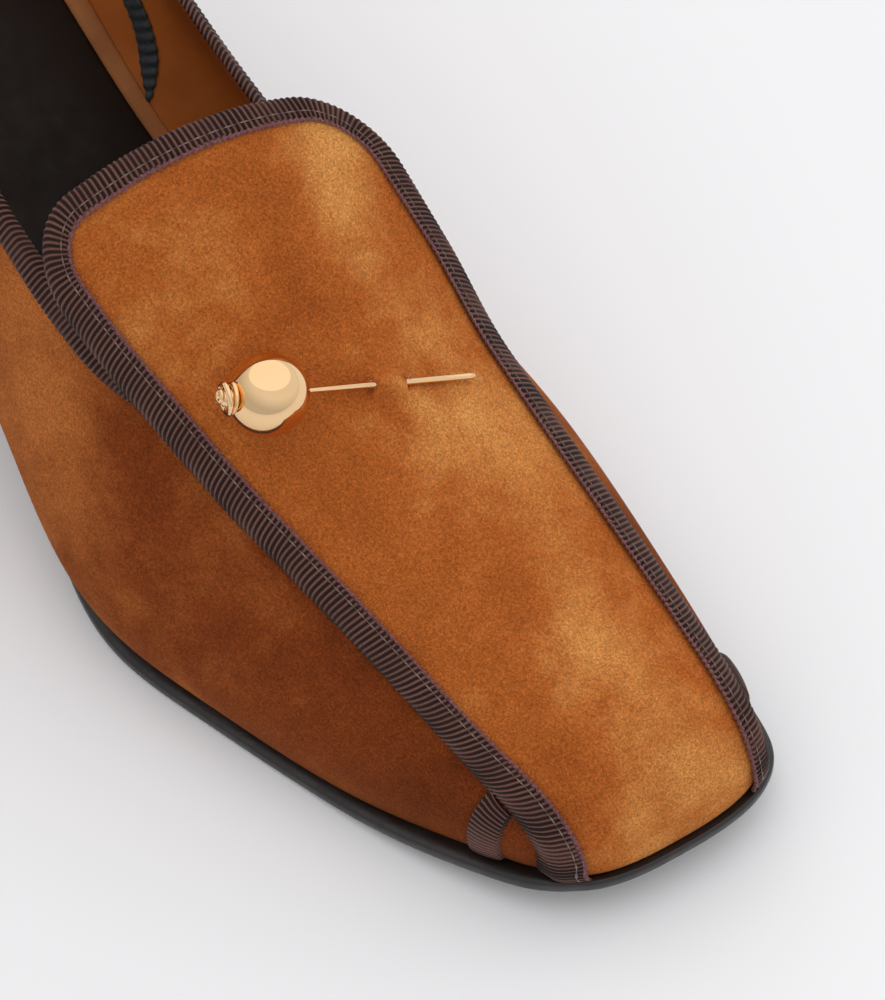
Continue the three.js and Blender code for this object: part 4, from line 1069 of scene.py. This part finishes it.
# The cap: two folded loops of wire round a short core, and the wire's bent end
cap_at = ball_centre - rod_way * 6.0
core = [(0, -0.3), (1.9, -0.3), (1.9, 0.3), (1.3, 0.7), (1.3, 2.0), (0.9, 2.4), (0, 2.5)]
cap = lathe("gold_cap", core, cap_at, -rod_way, GOLD, 40)
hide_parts("pin_cap")
tipped = -rod_way - 0.24 * bridge_up + 0.08 * bridge_side
leaned = -rod_way - 0.06 * bridge_up - 0.08 * bridge_side
lathe("cap_loop_inner", loop_profile(2.25, 0.62, 0.42), cap_at - rod_way * 0.75, leaned, GOLD, 56)
lathe("cap_loop_outer", loop_profile(2.4, 0.6, 0.42), cap_at - rod_way * 1.6, tipped, GOLD, 56)
end_at = cap_at - rod_way * 2.45 - bridge_side * 0.4
lathe("cap_loop_end", loop_profile(0.8, 0.42, 0.38), end_at, leaned, GOLD, 32)


# Loose suede fibres at the holes and the rod's end
def fibres(name, centre, count, spread, seed):
    rng = np.random.default_rng(seed)
    bm = bmesh.new()
    for _ in range(count):
        start = centre + rng.normal(0, spread, 3) * 0.5
        way = rng.normal(0, 1, 3) + 0.8 * bridge_up
        way /= np.linalg.norm(way)
        reach = rng.uniform(0.5, 1.3)
        bend = rng.normal(0, 0.25, 3)
        made = bmesh.ops.create_grid(bm, x_segments=4, y_segments=1, size=1)
        side = np.cross(way, rng.normal(0, 1, 3))
        side /= np.linalg.norm(side)
        for v in made["verts"]:
            t, edge = (v.co.x + 1) / 2, v.co.y
            v.co = Vector(place(start + way * reach * t + bend * t * t + side * edge * 0.035 * (1 - 0.7 * t)))
    mesh = bpy.data.meshes.new(name)
    bm.to_mesh(mesh)
    bm.free()
    mesh.materials.append(FIBRE)
    obj = bpy.data.objects.new(name, mesh)
    bpy.context.scene.collection.objects.link(obj)
    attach(obj, "root")


fibres("fibres_at_first_hole", bridge - rod_way * 3.3, 26, 0.8, 3)
fibres("fibres_at_second_hole", bridge + rod_way * 3.3, 26, 0.8, 4)
fibres("fibres_at_rod_end", ball_centre + rod_way * (rod_end - 0.2), 14, 0.5, 5)

# Floor, light and camera
floor_mesh = bpy.data.meshes.new("floor")
bm = bmesh.new()
bmesh.ops.create_grid(bm, x_segments=2, y_segments=2, size=6)
bm.to_mesh(floor_mesh)
bm.free()
floor = bpy.data.objects.new("floor", floor_mesh)
bpy.context.scene.collection.objects.link(floor)
paper, paper_tree, paper_shader = new_material("studio_paper", Roughness=0.95, Specular_IOR_Level=0.1)
paper_shader.inputs["Base Color"].default_value = linear("#f8f8fa")
floor_mesh.materials.append(paper)

world = bpy.data.worlds.new("studio")
bpy.context.scene.world = world
world.use_nodes = True
sky = world.node_tree
over = add(sky, "ShaderNodeSeparateXYZ", {"Vector": add(sky, "ShaderNodeTexCoord").outputs["Generated"]})
leaning = {0: over.outputs["Y"], 1: 0.45, 2: over.outputs["Z"]}
tilt = add(sky, "ShaderNodeMath", leaning, operation="MULTIPLY_ADD")
glow = ramp(sky, tilt.outputs[0], [(0.0, 0.64), (0.3, 0.84), (0.56, 0.98)])
sky.links.new(glow, sky.nodes["Background"].inputs["Color"])
sky.nodes["Background"].inputs["Strength"].default_value = 0.9
bpy.context.scene.view_settings.view_transform = "Standard"


def softbox(name, position, aim, size, power):
    light = bpy.data.lights.new(name, "AREA")
    light.shape = "ELLIPSE"
    light.size = light.size_y = size
    light.energy = power
    lamp = bpy.data.objects.new(name, light)
    lamp.location = Vector(place(position))
    way = Vector(place(aim)) - lamp.location
    lamp.rotation_euler = way.to_track_quat("-Z", "Y").to_euler()
    bpy.context.scene.collection.objects.link(lamp)


softbox("key_softbox", (-110, 350, 900), (150, 0, 30), 2.3, 3.7)


def camera():
    """The photograph's camera, from its angles round the shoe, its distance and its scale."""
    azimuth, elevation, roll = (math.radians(v) for v in (52.657, 57.767, -2.091))
    distance, scale = 900.627, 6.186
    target = np.array([174.853, 9.3, 20.0])
    level, high = math.cos(elevation), math.sin(elevation)
    back = np.array([math.sin(azimuth) * level, -math.cos(azimuth) * level, high])
    right = np.array([math.cos(azimuth), math.sin(azimuth), 0.0])
    up = np.cross(back, right)
    x_axis = right * math.cos(roll) + up * math.sin(roll)
    y_axis = -right * math.sin(roll) + up * math.cos(roll)
    data = bpy.data.cameras.new("camera")
    data.sensor_width = 36.0
    data.lens = 36.0 * scale * distance / 1000.0
    data.clip_start, data.clip_end = 0.05, 20.0
    obj = bpy.data.objects.new("camera", data)
    turn = Matrix([list(row) for row in np.array([x_axis, y_axis, back]).T]).to_4x4()
    turn.translation = Vector(place(target + back * distance))
    obj.matrix_world = turn
    bpy.context.scene.collection.objects.link(obj)
    bpy.context.scene.camera = obj


camera()
